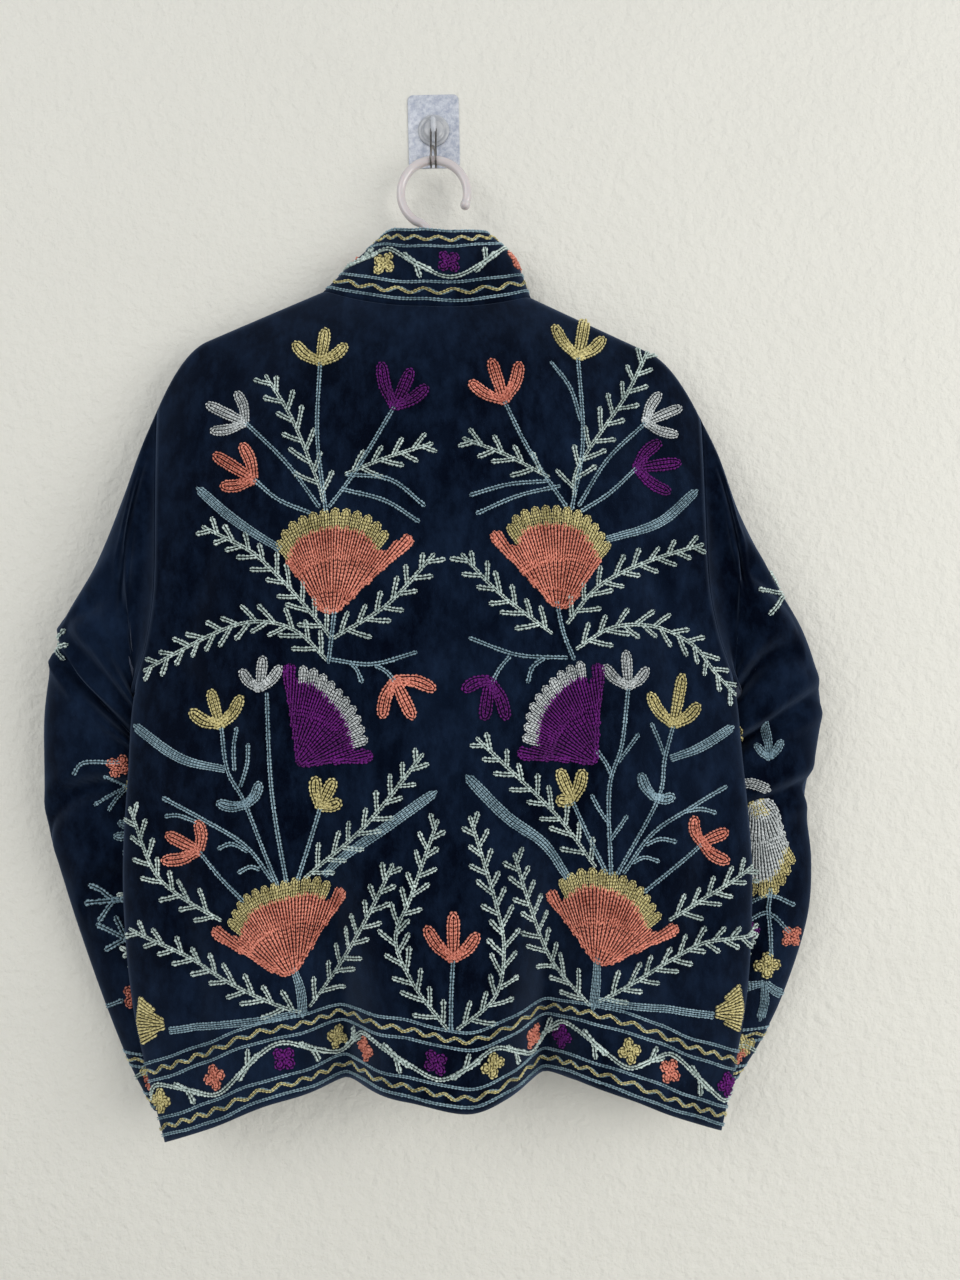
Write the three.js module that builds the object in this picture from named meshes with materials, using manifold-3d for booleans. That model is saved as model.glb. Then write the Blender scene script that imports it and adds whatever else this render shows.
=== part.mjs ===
// An embroidered velvet jacket on a moulded plastic hanger, which hangs from a clear stick-on wall hook.
// The jacket shows its back to the room. Its open fronts are next to the wall, and its sleeves hang
// outwards to the elbow and then tuck in behind the side edges of the body.
//
// Millimetres. The wall is the plane y = 0, the room is at -Y, +X is to the right as the room sees it,
// and +Z is up. The origin is the middle of the hook pad's back face, on the wall.
// Heights of the jacket are written as "down", below the origin, and depths as distances out from the wall.

import * as THREE from 'three';
import { mergeVertices } from 'three/addons/utils/BufferGeometryUtils.js';
import Module from 'manifold-3d';

const manifold = await Module();
manifold.setup();

// Driving sizes of the jacket.
const CLOTH = 1.8; // velvet with its backing
const SEAM_GAP = 0.3;
const HANG_DEPTH = 26; // the hanger and the fold of the shoulders, out from the wall
const NECK_HALF = 91;
const SEAM_HALF = 235; // half the width from one armhole seam to the other
const FRONT_EDGE_HALF = 6; // half the gap between the two fronts
const RIDGE_DOWN = 116; // where the two shoulder lines would meet
const SHOULDER_SLOPE = 0.445;
const HANGER_REACH = 192; // half the width of the hanger
const SHOULDER_FALL = 0.0406; // how fast the shoulder falls off past the hanger's tip, per mm
const SHOULDER_ROUND = 8; // radius of the fold over the hanger
const OPENING_LENGTH = 90; // how far below its shoulder line the body takes to fill out
const NECK_BACK_DOWN = 177;
const NECK_FRONT_DOWN = 245;
const UNDERARM_DOWN = 500;
const CLOSING_DOWN = 380; // from here to the underarm the side edges turn round into folds
const COLLAR_HEIGHT = 68;
const COLLAR_LEAN = { left: 50, right: 33 }; // degrees inwards at each side of the neck
const COLLAR_BACK_SET = 8; // how far the back's top edge is set in towards the wall
const COLLAR_FRONT_SET = 3; // the same for the fronts
const COLLAR_BOW = 3; // how far the back bows out to the room half way up
const JACKET_SHIFT = -8; // the jacket hangs a little left of its hook
const JACKET_TILT = 0.05; // with its left shoulder higher, which fades out towards the hem
const TILT_END_DOWN = 600;

// The body, level by level: half its width, how far the back stands out past the shoulder fold at its
// centre and at its side, and the depth of the fold at its side edge.
const BODY = [
  { down: 115, half: 235, centre: 56, side: 20, edge: 32 },
  { down: 261, half: 235, centre: 58, side: 22, edge: 32 },
  { down: 350, half: 234, centre: 60, side: 24, edge: 34 },
  { down: 412, half: 235, centre: 61, side: 26, edge: 37 },
  { down: 456, half: 243, centre: 62, side: 28, edge: 39 },
  { down: 500, half: 257, centre: 63, side: 31, edge: 42 },
  { down: 560, half: 261, centre: 64, side: 36, edge: 49 },
  { down: 640, half: 266, centre: 65, side: 40, edge: 52 },
  { down: 700, half: 265, centre: 65, side: 39, edge: 53 },
  { down: 760, half: 260, centre: 65, side: 37, edge: 54 },
  { down: 810, half: 251, centre: 64, side: 35, edge: 54 },
  { down: 880, half: 235, centre: 64, side: 33, edge: 54 },
];

// The hem of the back from its left side edge, share -1, to its right one, and the hem of each front from the
// middle, share 0, to the side edge.
const HEM_BACK = [
  { share: -1, down: 877 },
  { share: -0.8, down: 857 },
  { share: -0.6, down: 834 },
  { share: -0.45, down: 829 },
  { share: -0.1, down: 829 },
  { share: 0.08, down: 839 },
  { share: 0.2, down: 833 },
  { share: 0.4, down: 826 },
  { share: 0.52, down: 825 },
  { share: 0.65, down: 836 },
  { share: 0.8, down: 855 },
  { share: 1, down: 877 },
];
const HEM_FRONT = [
  { share: 0, down: 832 },
  { share: 0.3, down: 835 },
  { share: 0.6, down: 842 },
  { share: 0.85, down: 858 },
  { share: 1, down: 877 },
];

// The two deep folds that run up the back from its hem.
const BACK_FOLDS = [
  { x: -81, lean: -10, width: 27, deep: 49 },
  { x: 87, lean: 14, width: 26, deep: 49 },
];
const FOLD_START_DOWN = 540;
const FOLD_FULL_DOWN = 850;

// The fronts lie close to the wall at the middle, and stand out past the sleeves at the sides.
const FRONT_NEAR_WALL = 8;
const FRONT_PAST_SLEEVE = -22;
const FRONT_STEP_START_DOWN = 400;
const FRONT_STEP = [
  { down: 470, from: 118, to: 178 },
  { down: 600, from: 104, to: 162 },
  { down: 850, from: 70, to: 122 },
];

// The sleeves, section by section: the outer and the inner fold, the depth of each, how far the cloth puffs
// out to the room beside each, and how far it stands back to the wall.
const SLEEVE_RIGHT = [
  { at: 0.0, outX: 235, outDown: 258, inX: 257, inDown: 500, outDepth: 26, inDepth: 42, outPuff: 26, inPuff: 26, back: 15 },
  { at: 0.06, outX: 249, outDown: 290, inX: 264, inDown: 508, outDepth: 26, inDepth: 36, outPuff: 28, inPuff: 17, back: 16 },
  { at: 0.14, outX: 265, outDown: 342, inX: 257, inDown: 525, outDepth: 27, inDepth: 28, outPuff: 32, inPuff: 10, back: 17 },
  { at: 0.23, outX: 293, outDown: 402, inX: 245, inDown: 546, outDepth: 28, inDepth: 23, outPuff: 32, inPuff: 8, back: 16 },
  { at: 0.31, outX: 321, outDown: 455, inX: 228, inDown: 568, outDepth: 28, inDepth: 21, outPuff: 29, inPuff: 9, back: 15 },
  { at: 0.4, outX: 335, outDown: 512, inX: 202, inDown: 600, outDepth: 28, inDepth: 19, outPuff: 24, inPuff: 10, back: 14 },
  { at: 0.47, outX: 331, outDown: 556, inX: 186, inDown: 634, outDepth: 27, inDepth: 18, outPuff: 21, inPuff: 10, back: 13 },
  { at: 0.54, outX: 321, outDown: 600, inX: 178, inDown: 668, outDepth: 26, inDepth: 17, outPuff: 19, inPuff: 11, back: 12 },
  { at: 0.63, outX: 325, outDown: 655, inX: 172, inDown: 704, outDepth: 25, inDepth: 17, outPuff: 18, inPuff: 11, back: 12 },
  { at: 0.72, outX: 321, outDown: 705, inX: 164, inDown: 740, outDepth: 24, inDepth: 17, outPuff: 17, inPuff: 11, back: 12 },
  { at: 0.83, outX: 301, outDown: 768, inX: 152, inDown: 780, outDepth: 22, inDepth: 17, outPuff: 16, inPuff: 11, back: 12 },
  { at: 0.92, outX: 279, outDown: 815, inX: 143, inDown: 808, outDepth: 20, inDepth: 16, outPuff: 14, inPuff: 11, back: 12 },
  { at: 1.0, outX: 257, outDown: 850, inX: 133, inDown: 832, outDepth: 18, inDepth: 15, outPuff: 13, inPuff: 11, back: 11 },
];
const SLEEVE_LEFT = [
  { at: 0.0, outX: 235, outDown: 258, inX: 257, inDown: 500, outDepth: 26, inDepth: 42, outPuff: 26, inPuff: 26, back: 15 },
  { at: 0.06, outX: 248, outDown: 288, inX: 264, inDown: 508, outDepth: 26, inDepth: 36, outPuff: 28, inPuff: 17, back: 16 },
  { at: 0.14, outX: 264, outDown: 332, inX: 257, inDown: 525, outDepth: 27, inDepth: 28, outPuff: 32, inPuff: 10, back: 17 },
  { at: 0.23, outX: 290, outDown: 390, inX: 245, inDown: 546, outDepth: 28, inDepth: 23, outPuff: 32, inPuff: 8, back: 16 },
  { at: 0.31, outX: 323, outDown: 444, inX: 228, inDown: 568, outDepth: 28, inDepth: 21, outPuff: 29, inPuff: 9, back: 15 },
  { at: 0.4, outX: 338, outDown: 505, inX: 204, inDown: 600, outDepth: 28, inDepth: 19, outPuff: 24, inPuff: 10, back: 14 },
  { at: 0.47, outX: 341, outDown: 556, inX: 189, inDown: 634, outDepth: 27, inDepth: 18, outPuff: 22, inPuff: 10, back: 13 },
  { at: 0.54, outX: 340, outDown: 606, inX: 182, inDown: 668, outDepth: 26, inDepth: 17, outPuff: 21, inPuff: 11, back: 12 },
  { at: 0.63, outX: 326, outDown: 664, inX: 174, inDown: 706, outDepth: 25, inDepth: 17, outPuff: 19, inPuff: 11, back: 12 },
  { at: 0.72, outX: 311, outDown: 716, inX: 164, inDown: 746, outDepth: 24, inDepth: 17, outPuff: 17, inPuff: 11, back: 12 },
  { at: 0.83, outX: 292, outDown: 776, inX: 153, inDown: 792, outDepth: 22, inDepth: 17, outPuff: 16, inPuff: 11, back: 12 },
  { at: 0.92, outX: 274, outDown: 826, inX: 144, inDown: 828, outDepth: 20, inDepth: 16, outPuff: 14, inPuff: 11, back: 12 },
  { at: 1.0, outX: 256, outDown: 865, inX: 134, inDown: 855, outDepth: 18, inDepth: 15, outPuff: 13, inPuff: 11, back: 11 },
];
const SLEEVE_SQUARENESS = 2.5; // 2 is an ellipse, and more is a flatter section
const SLEEVE_BLEND = 0.13; // the share of its length over which the armhole turns into those sections

// How finely the cloth is cut into faces.
const NECK_STEPS = 6;
const SIDE_STEPS = 9;
const SHOULDER_ROWS = [0, 0.0024, 0.0078, 0.019, 0.04, 0.07];
const ARMHOLE_STEPS = 7;
const SKIRT_STEPS = 17;
const SLEEVE_STEPS = 22;
const COLLAR_STEPS = 4;
const ARC_SAMPLES = 60;
const NORMAL_STEP = 0.002; // of a panel, to each side of a point
const SLEEVE_NORMAL_STEP = 0.01; // of a sleeve's length

// The hanger and the wall hook.
const ARM_RADIUS = 4;
const ARM_CLEARANCE = 0.8; // under the cloth of the shoulders
const ARM_SAG = 1.2; // how much lower the arms are in the open neck
const ARM_END = 6; // how far short of the hanger's width the middle of an arm's end is
const ARM_JOIN = { sink: 4, width: 16 }; // the arms round into each other under the neck
const ARM_BENDS = 8;
const HOOK_TUBE_RADIUS = 3.8;
const RING_RADIUS = 29; // to the middle of the tube
const RING_DOWN = 67;
const RING_TIP_ANGLE = -21; // degrees from +X, where the open end of the ring is
const RING_FOOT_ANGLE = 252;
const RING_ANGLE_STEP = 13;
const RING_TIP_BALL = 4.5;
const NECK_OF_HANGER = 8; // from the ring down to the straight part
const PAD = { width: 46, height: 66, thick: 1.2, corner: 5 };
const BOSS_HEIGHT = 7;
const BOSS = [
  { radius: 0, height: 0 },
  { radius: 14, height: 0 },
  { radius: 14, height: 2.5 },
  { radius: 12, height: 4.4 },
  { radius: 5.5, height: BOSS_HEIGHT },
  { radius: 0, height: BOSS_HEIGHT },
];
const WIRE_RADIUS = 0.8;
const WIRE_HALF_WIDTH = 2.2; // the wire is bent double, and this is half the distance between its two legs
const HOOK_CLEARANCE = 0.7;

const clamp01 = (t) => Math.min(1, Math.max(0, t));
const mix = (a, b, t) => a + (b - a) * t;

function smooth(from, to, at) {
  const t = clamp01((at - from) / (to - from));
  return t * t * (3 - 2 * t);
}

// The value in `column` at `at`, on a smooth curve through a table that is sorted by `key`.
function along(table, key, column, at) {
  const last = table.length - 1;
  let i = 0;
  while (i < last - 1 && at > table[i + 1][key]) i += 1;
  const slope = (j) => {
    const before = table[Math.max(0, j - 1)];
    const after = table[Math.min(last, j + 1)];
    return (after[column] - before[column]) / (after[key] - before[key]);
  };
  const span = table[i + 1][key] - table[i][key];
  const t = clamp01((at - table[i][key]) / span);
  const start = table[i][column];
  const rise = table[i + 1][column] - start;
  const bendIn = slope(i) * span - rise;
  const bendOut = rise - slope(i + 1) * span;
  return start + rise * t + t * (1 - t) * (bendIn * (1 - t) + bendOut * t);
}

// Jacket coordinates are x from its own centre line, depth from the wall, and height z.
function toWorld(x, depth, z) {
  const tilt = JACKET_TILT * (1 - smooth(RIDGE_DOWN, TILT_END_DOWN, -z));
  return new THREE.Vector3(x + JACKET_SHIFT, -depth, z - tilt * x);
}

// Height of the shoulder fold over x.
function ridge(x) {
  const reach = Math.abs(x);
  const past = Math.max(0, reach - HANGER_REACH);
  return -RIDGE_DOWN - SHOULDER_SLOPE * reach - 0.5 * SHOULDER_FALL * past * past;
}

const halfWidth = (z) => along(BODY, 'down', 'half', -z);

// Half the thickness that the fold over the hanger gives the body, `below` its ridge.
function noseDepth(below) {
  const left = Math.max(0, SHOULDER_ROUND - below);
  return Math.sqrt(SHOULDER_ROUND * SHOULDER_ROUND - left * left);
}

function foldDepth(x, z) {
  const grown = smooth(FOLD_START_DOWN, FOLD_FULL_DOWN, -z);
  return BACK_FOLDS.reduce((sum, fold) => {
    const middle = fold.x + fold.lean * (1 - grown);
    const offset = (x - middle) / fold.width;
    return sum + fold.deep * grown * Math.exp(-offset * offset);
  }, 0);
}

// Depth of a face of the body. Towards the underarm both faces close in on the fold at the side edge.
function bodyDepth(face, x, z) {
  const below = Math.max(0, ridge(x) - z);
  const filled = 1 - Math.exp(-below / OPENING_LENGTH);
  const share = Math.min(1, Math.abs(x) / halfWidth(z));
  let open;
  if (face === 'back') {
    const side = along(BODY, 'down', 'side', -z);
    const centre = along(BODY, 'down', 'centre', -z);
    const bulge = mix(side, centre, (1 - share * share) ** 1.2) - foldDepth(x, z);
    open = HANG_DEPTH + noseDepth(below) + bulge * filled;
  } else {
    const from = along(FRONT_STEP, 'down', 'from', -z);
    const to = along(FRONT_STEP, 'down', 'to', -z);
    const stepped = smooth(from, to, Math.abs(x)) * smooth(FRONT_STEP_START_DOWN, UNDERARM_DOWN, -z);
    open = HANG_DEPTH - noseDepth(below) - mix(FRONT_NEAR_WALL, FRONT_PAST_SLEEVE, stepped) * filled;
  }
  const closing = smooth(CLOSING_DOWN, UNDERARM_DOWN, -z);
  const edge = along(BODY, 'down', 'edge', -z);
  return edge + (open - edge) * Math.cbrt(1 - closing * share ** 3);
}

// The x that lies at a share of the cloth's length from the centre to the side edge, at one height.
function clothX(face, share, z) {
  const half = halfWidth(z) * (share < 0 ? -1 : 1);
  const xs = [];
  const lengths = [0];
  let depth = bodyDepth(face, 0, z);
  for (let i = 0; i <= ARC_SAMPLES; i += 1) {
    const left = 1 - i / ARC_SAMPLES;
    xs.push(half * (1 - left * left));
    if (i === 0) continue;
    const next = bodyDepth(face, xs[i], z);
    lengths.push(lengths[i - 1] + Math.hypot(xs[i] - xs[i - 1], next - depth));
    depth = next;
  }
  const wanted = Math.abs(share) * lengths[ARC_SAMPLES];
  let i = 0;
  while (i < ARC_SAMPLES - 1 && lengths[i + 1] < wanted) i += 1;
  const t = (wanted - lengths[i]) / (lengths[i + 1] - lengths[i]);
  return mix(xs[i], xs[i + 1], clamp01(t));
}

// Height of a face's top edge: the neckline, then the shoulder fold.
function topEdge(face, x) {
  const share = Math.abs(x) / NECK_HALF;
  if (share >= 1) return ridge(x);
  const low = face === 'back' ? -NECK_BACK_DOWN : -NECK_FRONT_DOWN;
  return mix(low, ridge(NECK_HALF), share ** (face === 'back' ? 2 : 2.2));
}

const hemHeight = (face, share) =>
  -(face === 'back' ? along(HEM_BACK, 'share', 'down', share) : along(HEM_FRONT, 'share', 'down', Math.abs(share)));

// A point of the body's outer surface. Share runs from -1, the left side edge, to 1, and v from the top
// edge to the hem.
function bodyPoint(face, share, v) {
  const z = mix(topEdge(face, share * SEAM_HALF), hemHeight(face, share), v);
  const evenX = share * halfWidth(z);
  const blend = smooth(330, 470, -z);
  const x = blend > 0 ? mix(evenX, clothX(face, share, z), blend) : evenX;
  return toWorld(x, bodyDepth(face, x, z), z);
}

// Outward normal of a face of the body, from points a small step to each side.
function faceNormal(face, share, v) {
  const step = NORMAL_STEP;
  const at = (s, t) => bodyPoint(face, Math.min(1, Math.max(-1, s)), clamp01(t));
  const across = at(share + step, v).sub(at(share - step, v));
  const down = at(share, v + step).sub(at(share, v - step));
  const normal = down.cross(across).normalize();
  return face === 'back' ? normal : normal.negate();
}

// Where the back and a front meet, both use the mean of their normals, so their edges face each other.
function bodyNormal(face, share, v) {
  const normal = faceNormal(face, share, v);
  const onShoulder = v === 0 && Math.abs(share) * SEAM_HALF > NECK_HALF - 0.01;
  const onSide = Math.abs(share) === 1 && v > underarmV - 1e-6;
  if (!onShoulder && !onSide) return normal;
  return normal.add(faceNormal(face === 'back' ? 'front' : 'back', share, v)).normalize();
}

// A closed wall between an outer and an inner grid of points. A wrapped grid joins its last column to its first.
// Each cell is split along the shorter diagonal of its outer side. An edge strip is split from the higher
// end's outer corner, so that the strips of two pieces along one seam match.
function wall(outer, inner, wrapped = false) {
  const layers = [outer, inner];
  const rows = outer.length;
  const columns = outer[0].length;
  const position = [...outer.flat(), ...inner.flat()].flatMap((p) => [p.x, p.y, p.z]);
  const index = [];
  const id = ([layer, i, j]) => (layer * rows + i) * columns + (j % columns);
  const point = ([layer, i, j]) => layers[layer][i][j % columns];
  const quad = (corners, splitFirst) => {
    const [a, b, c, d] = corners.map(id);
    index.push(...(splitFirst ? [a, b, c, a, c, d] : [a, b, d, b, c, d]));
  };
  const strip = (a, b, c, d) => quad([a, b, c, d], point(a).z > point(b).z);
  const cells = wrapped ? columns : columns - 1;
  for (let i = 0; i < rows - 1; i += 1) {
    for (let j = 0; j < cells; j += 1) {
      const cell = (layer) => [[layer, i, j], [layer, i + 1, j], [layer, i + 1, j + 1], [layer, i, j + 1]];
      const [a, b, c, d] = cell(0).map(point);
      const splitFirst = a.distanceTo(c) < b.distanceTo(d);
      quad(cell(0), splitFirst);
      const [e, f, g, h] = cell(1);
      quad([e, h, g, f], splitFirst);
    }
    if (wrapped) continue;
    strip([0, i + 1, 0], [0, i, 0], [1, i, 0], [1, i + 1, 0]);
    strip([0, i, cells], [0, i + 1, cells], [1, i + 1, cells], [1, i, cells]);
  }
  for (let j = 0; j < cells; j += 1) {
    strip([0, 0, j], [0, 0, j + 1], [1, 0, j + 1], [1, 0, j]);
    strip([0, rows - 1, j + 1], [0, rows - 1, j], [1, rows - 1, j], [1, rows - 1, j + 1]);
  }
  const geometry = new THREE.BufferGeometry();
  geometry.setAttribute('position', new THREE.Float32BufferAttribute(position, 3));
  geometry.setIndex(signedVolume(position, index) < 0 ? index.reverse() : index);
  geometry.computeVertexNormals();
  return geometry;
}

function signedVolume(position, index) {
  const corner = (i) => new THREE.Vector3().fromArray(position, 3 * i);
  let volume = 0;
  for (let i = 0; i < index.length; i += 3) {
    volume += corner(index[i]).dot(corner(index[i + 1]).cross(corner(index[i + 2])));
  }
  return volume;
}

// Shares of the half width: close together beside the neck point and at the side edge.
const neckShare = NECK_HALF / SEAM_HALF;
function halfShares(first) {
  const shares = [];
  for (let i = 0; i <= NECK_STEPS; i += 1) {
    shares.push(mix(first, neckShare, Math.sin((i / NECK_STEPS) * (Math.PI / 2))));
  }
  for (let i = 1; i <= SIDE_STEPS; i += 1) {
    const t = i / SIDE_STEPS;
    shares.push(mix(neckShare, 1, mix(t, Math.sin(t * (Math.PI / 2)), 0.45)));
  }
  return shares;
}

// Rows from the top edge to the hem. One of them is at the underarm.
const underarmV = (UNDERARM_DOWN + ridge(SEAM_HALF)) / (ridge(SEAM_HALF) - hemHeight('back', 1));
const bodyRows = [...SHOULDER_ROWS];
for (let i = 1; i <= ARMHOLE_STEPS; i += 1) {
  bodyRows.push(mix(SHOULDER_ROWS.at(-1), underarmV, i / ARMHOLE_STEPS));
}
const underarmRow = bodyRows.length - 1;
for (let i = 1; i <= SKIRT_STEPS; i += 1) {
  bodyRows.push(mix(underarmV, 1, i / SKIRT_STEPS));
}

// Outer and inner points of a face of the body on a grid of shares and rows. Seam edges stand back half a gap.
function bodyGrids(face, shares) {
  const outer = [];
  const inner = [];
  for (const v of bodyRows) {
    const outerRow = [];
    const innerRow = [];
    for (const share of shares) {
      const point = bodyPoint(face, share, v);
      const normal = bodyNormal(face, share, v);
      const isSeam = v === 0 || Math.abs(share) === 1;
      if (isSeam) point.y += (face === 'back' ? -0.5 : 0.5) * SEAM_GAP;
      outerRow.push(point);
      innerRow.push(point.clone().addScaledVector(normal, -CLOTH));
    }
    outer.push(outerRow);
    inner.push(innerRow);
  }
  return { outer, inner };
}

const rightShares = halfShares(0);
const backShares = [...rightShares.slice(1).map((share) => -share).reverse(), ...rightShares];
const frontShares = halfShares(FRONT_EDGE_HALF / SEAM_HALF);
const leftFrontShares = frontShares.map((share) => -share).reverse();
const backGrids = bodyGrids('back', backShares);
const frontGrids = { right: bodyGrids('front', frontShares), left: bodyGrids('front', leftFrontShares) };

// The part of a sheet between two rows and two columns. Its cut edges stand back half a gap from the cut.
function block({ outer, inner }, [top, bottom], [left, right]) {
  const cut = (grid) =>
    grid.slice(top, bottom + 1).map((row) => row.slice(left, right + 1).map((point) => point.clone()));
  const piece = { outer: cut(outer), inner: cut(inner) };
  const standBack = (row, column, rowStep, columnStep) => {
    const towards = outer[row + rowStep][column + columnStep].clone().sub(outer[row][column]);
    towards.setLength(0.5 * SEAM_GAP);
    piece.outer[row - top][column - left].add(towards);
    piece.inner[row - top][column - left].add(towards);
  };
  for (let column = left; column <= right; column += 1) {
    if (top > 0) standBack(top, column, 1, 0);
    if (bottom < outer.length - 1) standBack(bottom, column, -1, 0);
  }
  for (let row = top; row <= bottom; row += 1) {
    if (left > 0) standBack(row, left, 0, 1);
    if (right < outer[0].length - 1) standBack(row, right, 0, -1);
  }
  return piece;
}

// Steps an edge's points off their panel, square to the edge and to the cloth.
function stepOff(edge, distance, sign) {
  const last = edge.length - 1;
  const isLoop = edge.isLoop === true;
  return edge.map((pair, i) => {
    const before = edge[isLoop ? (i + last) % (last + 1) : Math.max(0, i - 1)];
    const after = edge[isLoop ? (i + 1) % (last + 1) : Math.min(last, i + 1)];
    const tangent = after.outer.clone().sub(before.outer).normalize();
    const normal = pair.outer.clone().sub(pair.inner).normalize();
    const step = normal.cross(tangent).normalize().multiplyScalar(sign * distance);
    return { outer: pair.outer.clone().add(step), inner: pair.inner.clone().add(step) };
  });
}

// One sleeve: the armhole's own edge first, then oval sections down to the cuff.
function sleeveGeometry(side) {
  const sign = side === 'right' ? 1 : -1;
  const table = side === 'right' ? SLEEVE_RIGHT : SLEEVE_LEFT;
  const backColumn = side === 'right' ? backShares.length - 1 : 0;
  const frontColumn = side === 'right' ? frontShares.length - 1 : 0;
  const front = frontGrids[side];
  const armhole = [];
  const pairAt = (grids, row, column) => ({ outer: grids.outer[row][column], inner: grids.inner[row][column] });
  const middle = (a, b) => ({
    outer: a.outer.clone().lerp(b.outer, 0.5),
    inner: a.inner.clone().lerp(b.inner, 0.5),
  });
  for (let row = 0; row <= underarmRow; row += 1) {
    const pair = pairAt(backGrids, row, backColumn);
    const isShared = row === 0 || row === underarmRow;
    armhole.push(isShared ? middle(pair, pairAt(front, row, frontColumn)) : pair);
  }
  for (let row = underarmRow - 1; row > 0; row -= 1) armhole.push(pairAt(front, row, frontColumn));
  armhole.isLoop = true;
  const seam = stepOff(armhole, SEAM_GAP, sign);
  const count = seam.length;

  const sectionPoint = (at, k) => {
    const angle = (k / count) * 2 * Math.PI;
    const power = 2 / SLEEVE_SQUARENESS;
    const outwards = Math.sign(Math.cos(angle)) * Math.abs(Math.cos(angle)) ** power;
    const stand = Math.abs(Math.sin(angle)) ** power;
    const toOuter = (outwards + 1) / 2;
    const column = (name) => along(table, 'at', name, at);
    const middleDepth = mix(column('inDepth'), column('outDepth'), toOuter);
    const puff = mix(column('inPuff'), column('outPuff'), smooth(0, 1, toOuter));
    const depth = middleDepth + (Math.sin(angle) > 0 ? puff : -column('back')) * stand;
    const x = mix(column('inX'), column('outX'), toOuter);
    const z = -mix(column('inDown'), column('outDown'), toOuter);
    return toWorld(sign * x, depth, z);
  };
  const outerPoint = (at, k) => {
    const own = sectionPoint(at, k);
    const fromSeam = seam[(k + count) % count].outer;
    const lift = sectionPoint(0, k);
    const blend = smooth(0, SLEEVE_BLEND, at);
    return own.add(fromSeam.clone().sub(lift).multiplyScalar(1 - blend));
  };

  const outer = [seam.map((pair) => pair.outer)];
  const inner = [seam.map((pair) => pair.inner)];
  for (let i = 1; i <= SLEEVE_STEPS; i += 1) {
    const at = i / SLEEVE_STEPS;
    const outerRow = [];
    const innerRow = [];
    for (let k = 0; k < count; k += 1) {
      const point = outerPoint(at, k);
      const round = outerPoint(at, k + 1).sub(outerPoint(at, k - 1));
      const above = outerPoint(at - SLEEVE_NORMAL_STEP, k);
      const down = outerPoint(Math.min(1, at + SLEEVE_NORMAL_STEP), k).sub(above);
      const normal = down.cross(round).normalize().multiplyScalar(sign);
      outerRow.push(point);
      innerRow.push(point.clone().addScaledVector(normal, CLOTH));
    }
    outer.push(outerRow);
    inner.push(innerRow);
  }
  return wall(outer, inner, true);
}

// The stand collar: a band up from the whole neckline, from one front edge round the back to the other.
function collarGeometry() {
  const neckline = [];
  const take = (grids, shares, isNeck) => shares.forEach((share, j) => {
    if (isNeck(share)) neckline.push({ outer: grids.outer[0][j], inner: grids.inner[0][j], share });
  });
  const isFrontNeck = (share) => Math.abs(share) < neckShare - 1e-6;
  const isBackNeck = (share) => Math.abs(share) < neckShare + 1e-6;
  take(frontGrids.left, leftFrontShares, isFrontNeck);
  neckline.reverse();
  take(backGrids, backShares, isBackNeck);
  const frontStart = neckline.length;
  take(frontGrids.right, frontShares, isFrontNeck);
  const rightFront = neckline.splice(frontStart).reverse();
  neckline.push(...rightFront);

  const base = stepOff(neckline, SEAM_GAP, 1);
  const isFront = (i) => i < NECK_STEPS || i >= base.length - NECK_STEPS;
  const bandPoint = (i, share, t) => {
    const toSide = Math.abs(share) / neckShare;
    const lean = THREE.MathUtils.degToRad(COLLAR_LEAN[share < 0 ? 'left' : 'right']) * toSide ** 1.5;
    const towardsWall = isFront(i) ? COLLAR_FRONT_SET * (1 - toSide) : COLLAR_BACK_SET * (1 - toSide ** 2);
    const bow = isFront(i) ? 0 : COLLAR_BOW * Math.sin(Math.PI * t) * (1 - 0.5 * toSide);
    const rise = new THREE.Vector3(-Math.sign(share) * Math.sin(lean), 0, Math.cos(lean));
    const point = base[i].outer.clone().addScaledVector(rise, COLLAR_HEIGHT * t);
    point.y += towardsWall * t - bow;
    return point;
  };
  const outer = [];
  const inner = [];
  for (let row = 0; row <= COLLAR_STEPS; row += 1) {
    const t = row / COLLAR_STEPS;
    outer.push(base.map((pair, i) => (row === 0 ? pair.outer : bandPoint(i, neckline[i].share, t))));
  }
  for (let row = 0; row <= COLLAR_STEPS; row += 1) {
    inner.push(outer[row].map((point, i) => {
      if (row === 0) return base[i].inner;
      const before = outer[row][Math.max(0, i - 1)];
      const after = outer[row][Math.min(base.length - 1, i + 1)];
      const up = outer[Math.min(COLLAR_STEPS, row + 1)][i].clone().sub(outer[row - 1][i]);
      const inwards = up.cross(after.clone().sub(before)).normalize();
      return point.clone().addScaledVector(inwards, -CLOTH);
    }));
  }
  return wall(outer, inner);
}

// A round tube along points, with a ball at each end so that it closes smoothly.
function tubeSolid(points, radius, steps, sides) {
  const path = new THREE.CatmullRomCurve3(points);
  const section = new THREE.Shape();
  section.absarc(0, 0, radius, 0, 2 * Math.PI, false);
  const tube = new THREE.ExtrudeGeometry(section, { extrudePath: path, steps, curveSegments: sides });
  const ends = [points[0], points.at(-1)].map((point) => {
    const ball = new THREE.SphereGeometry(radius, 2 * sides, sides);
    return solidOf(ball.translate(point.x, point.y, point.z));
  });
  return solidOf(tube).add(ends[0]).add(ends[1]);
}

function solidOf(geometry) {
  const bare = geometry.index ? geometry.toNonIndexed() : geometry.clone();
  bare.deleteAttribute('normal');
  bare.deleteAttribute('uv');
  const merged = mergeVertices(bare, 1e-4);
  const vertProperties = merged.attributes.position.array;
  const triVerts = new Uint32Array(merged.index.array);
  return new manifold.Manifold(new manifold.Mesh({ numProp: 3, vertProperties, triVerts }));
}

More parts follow.
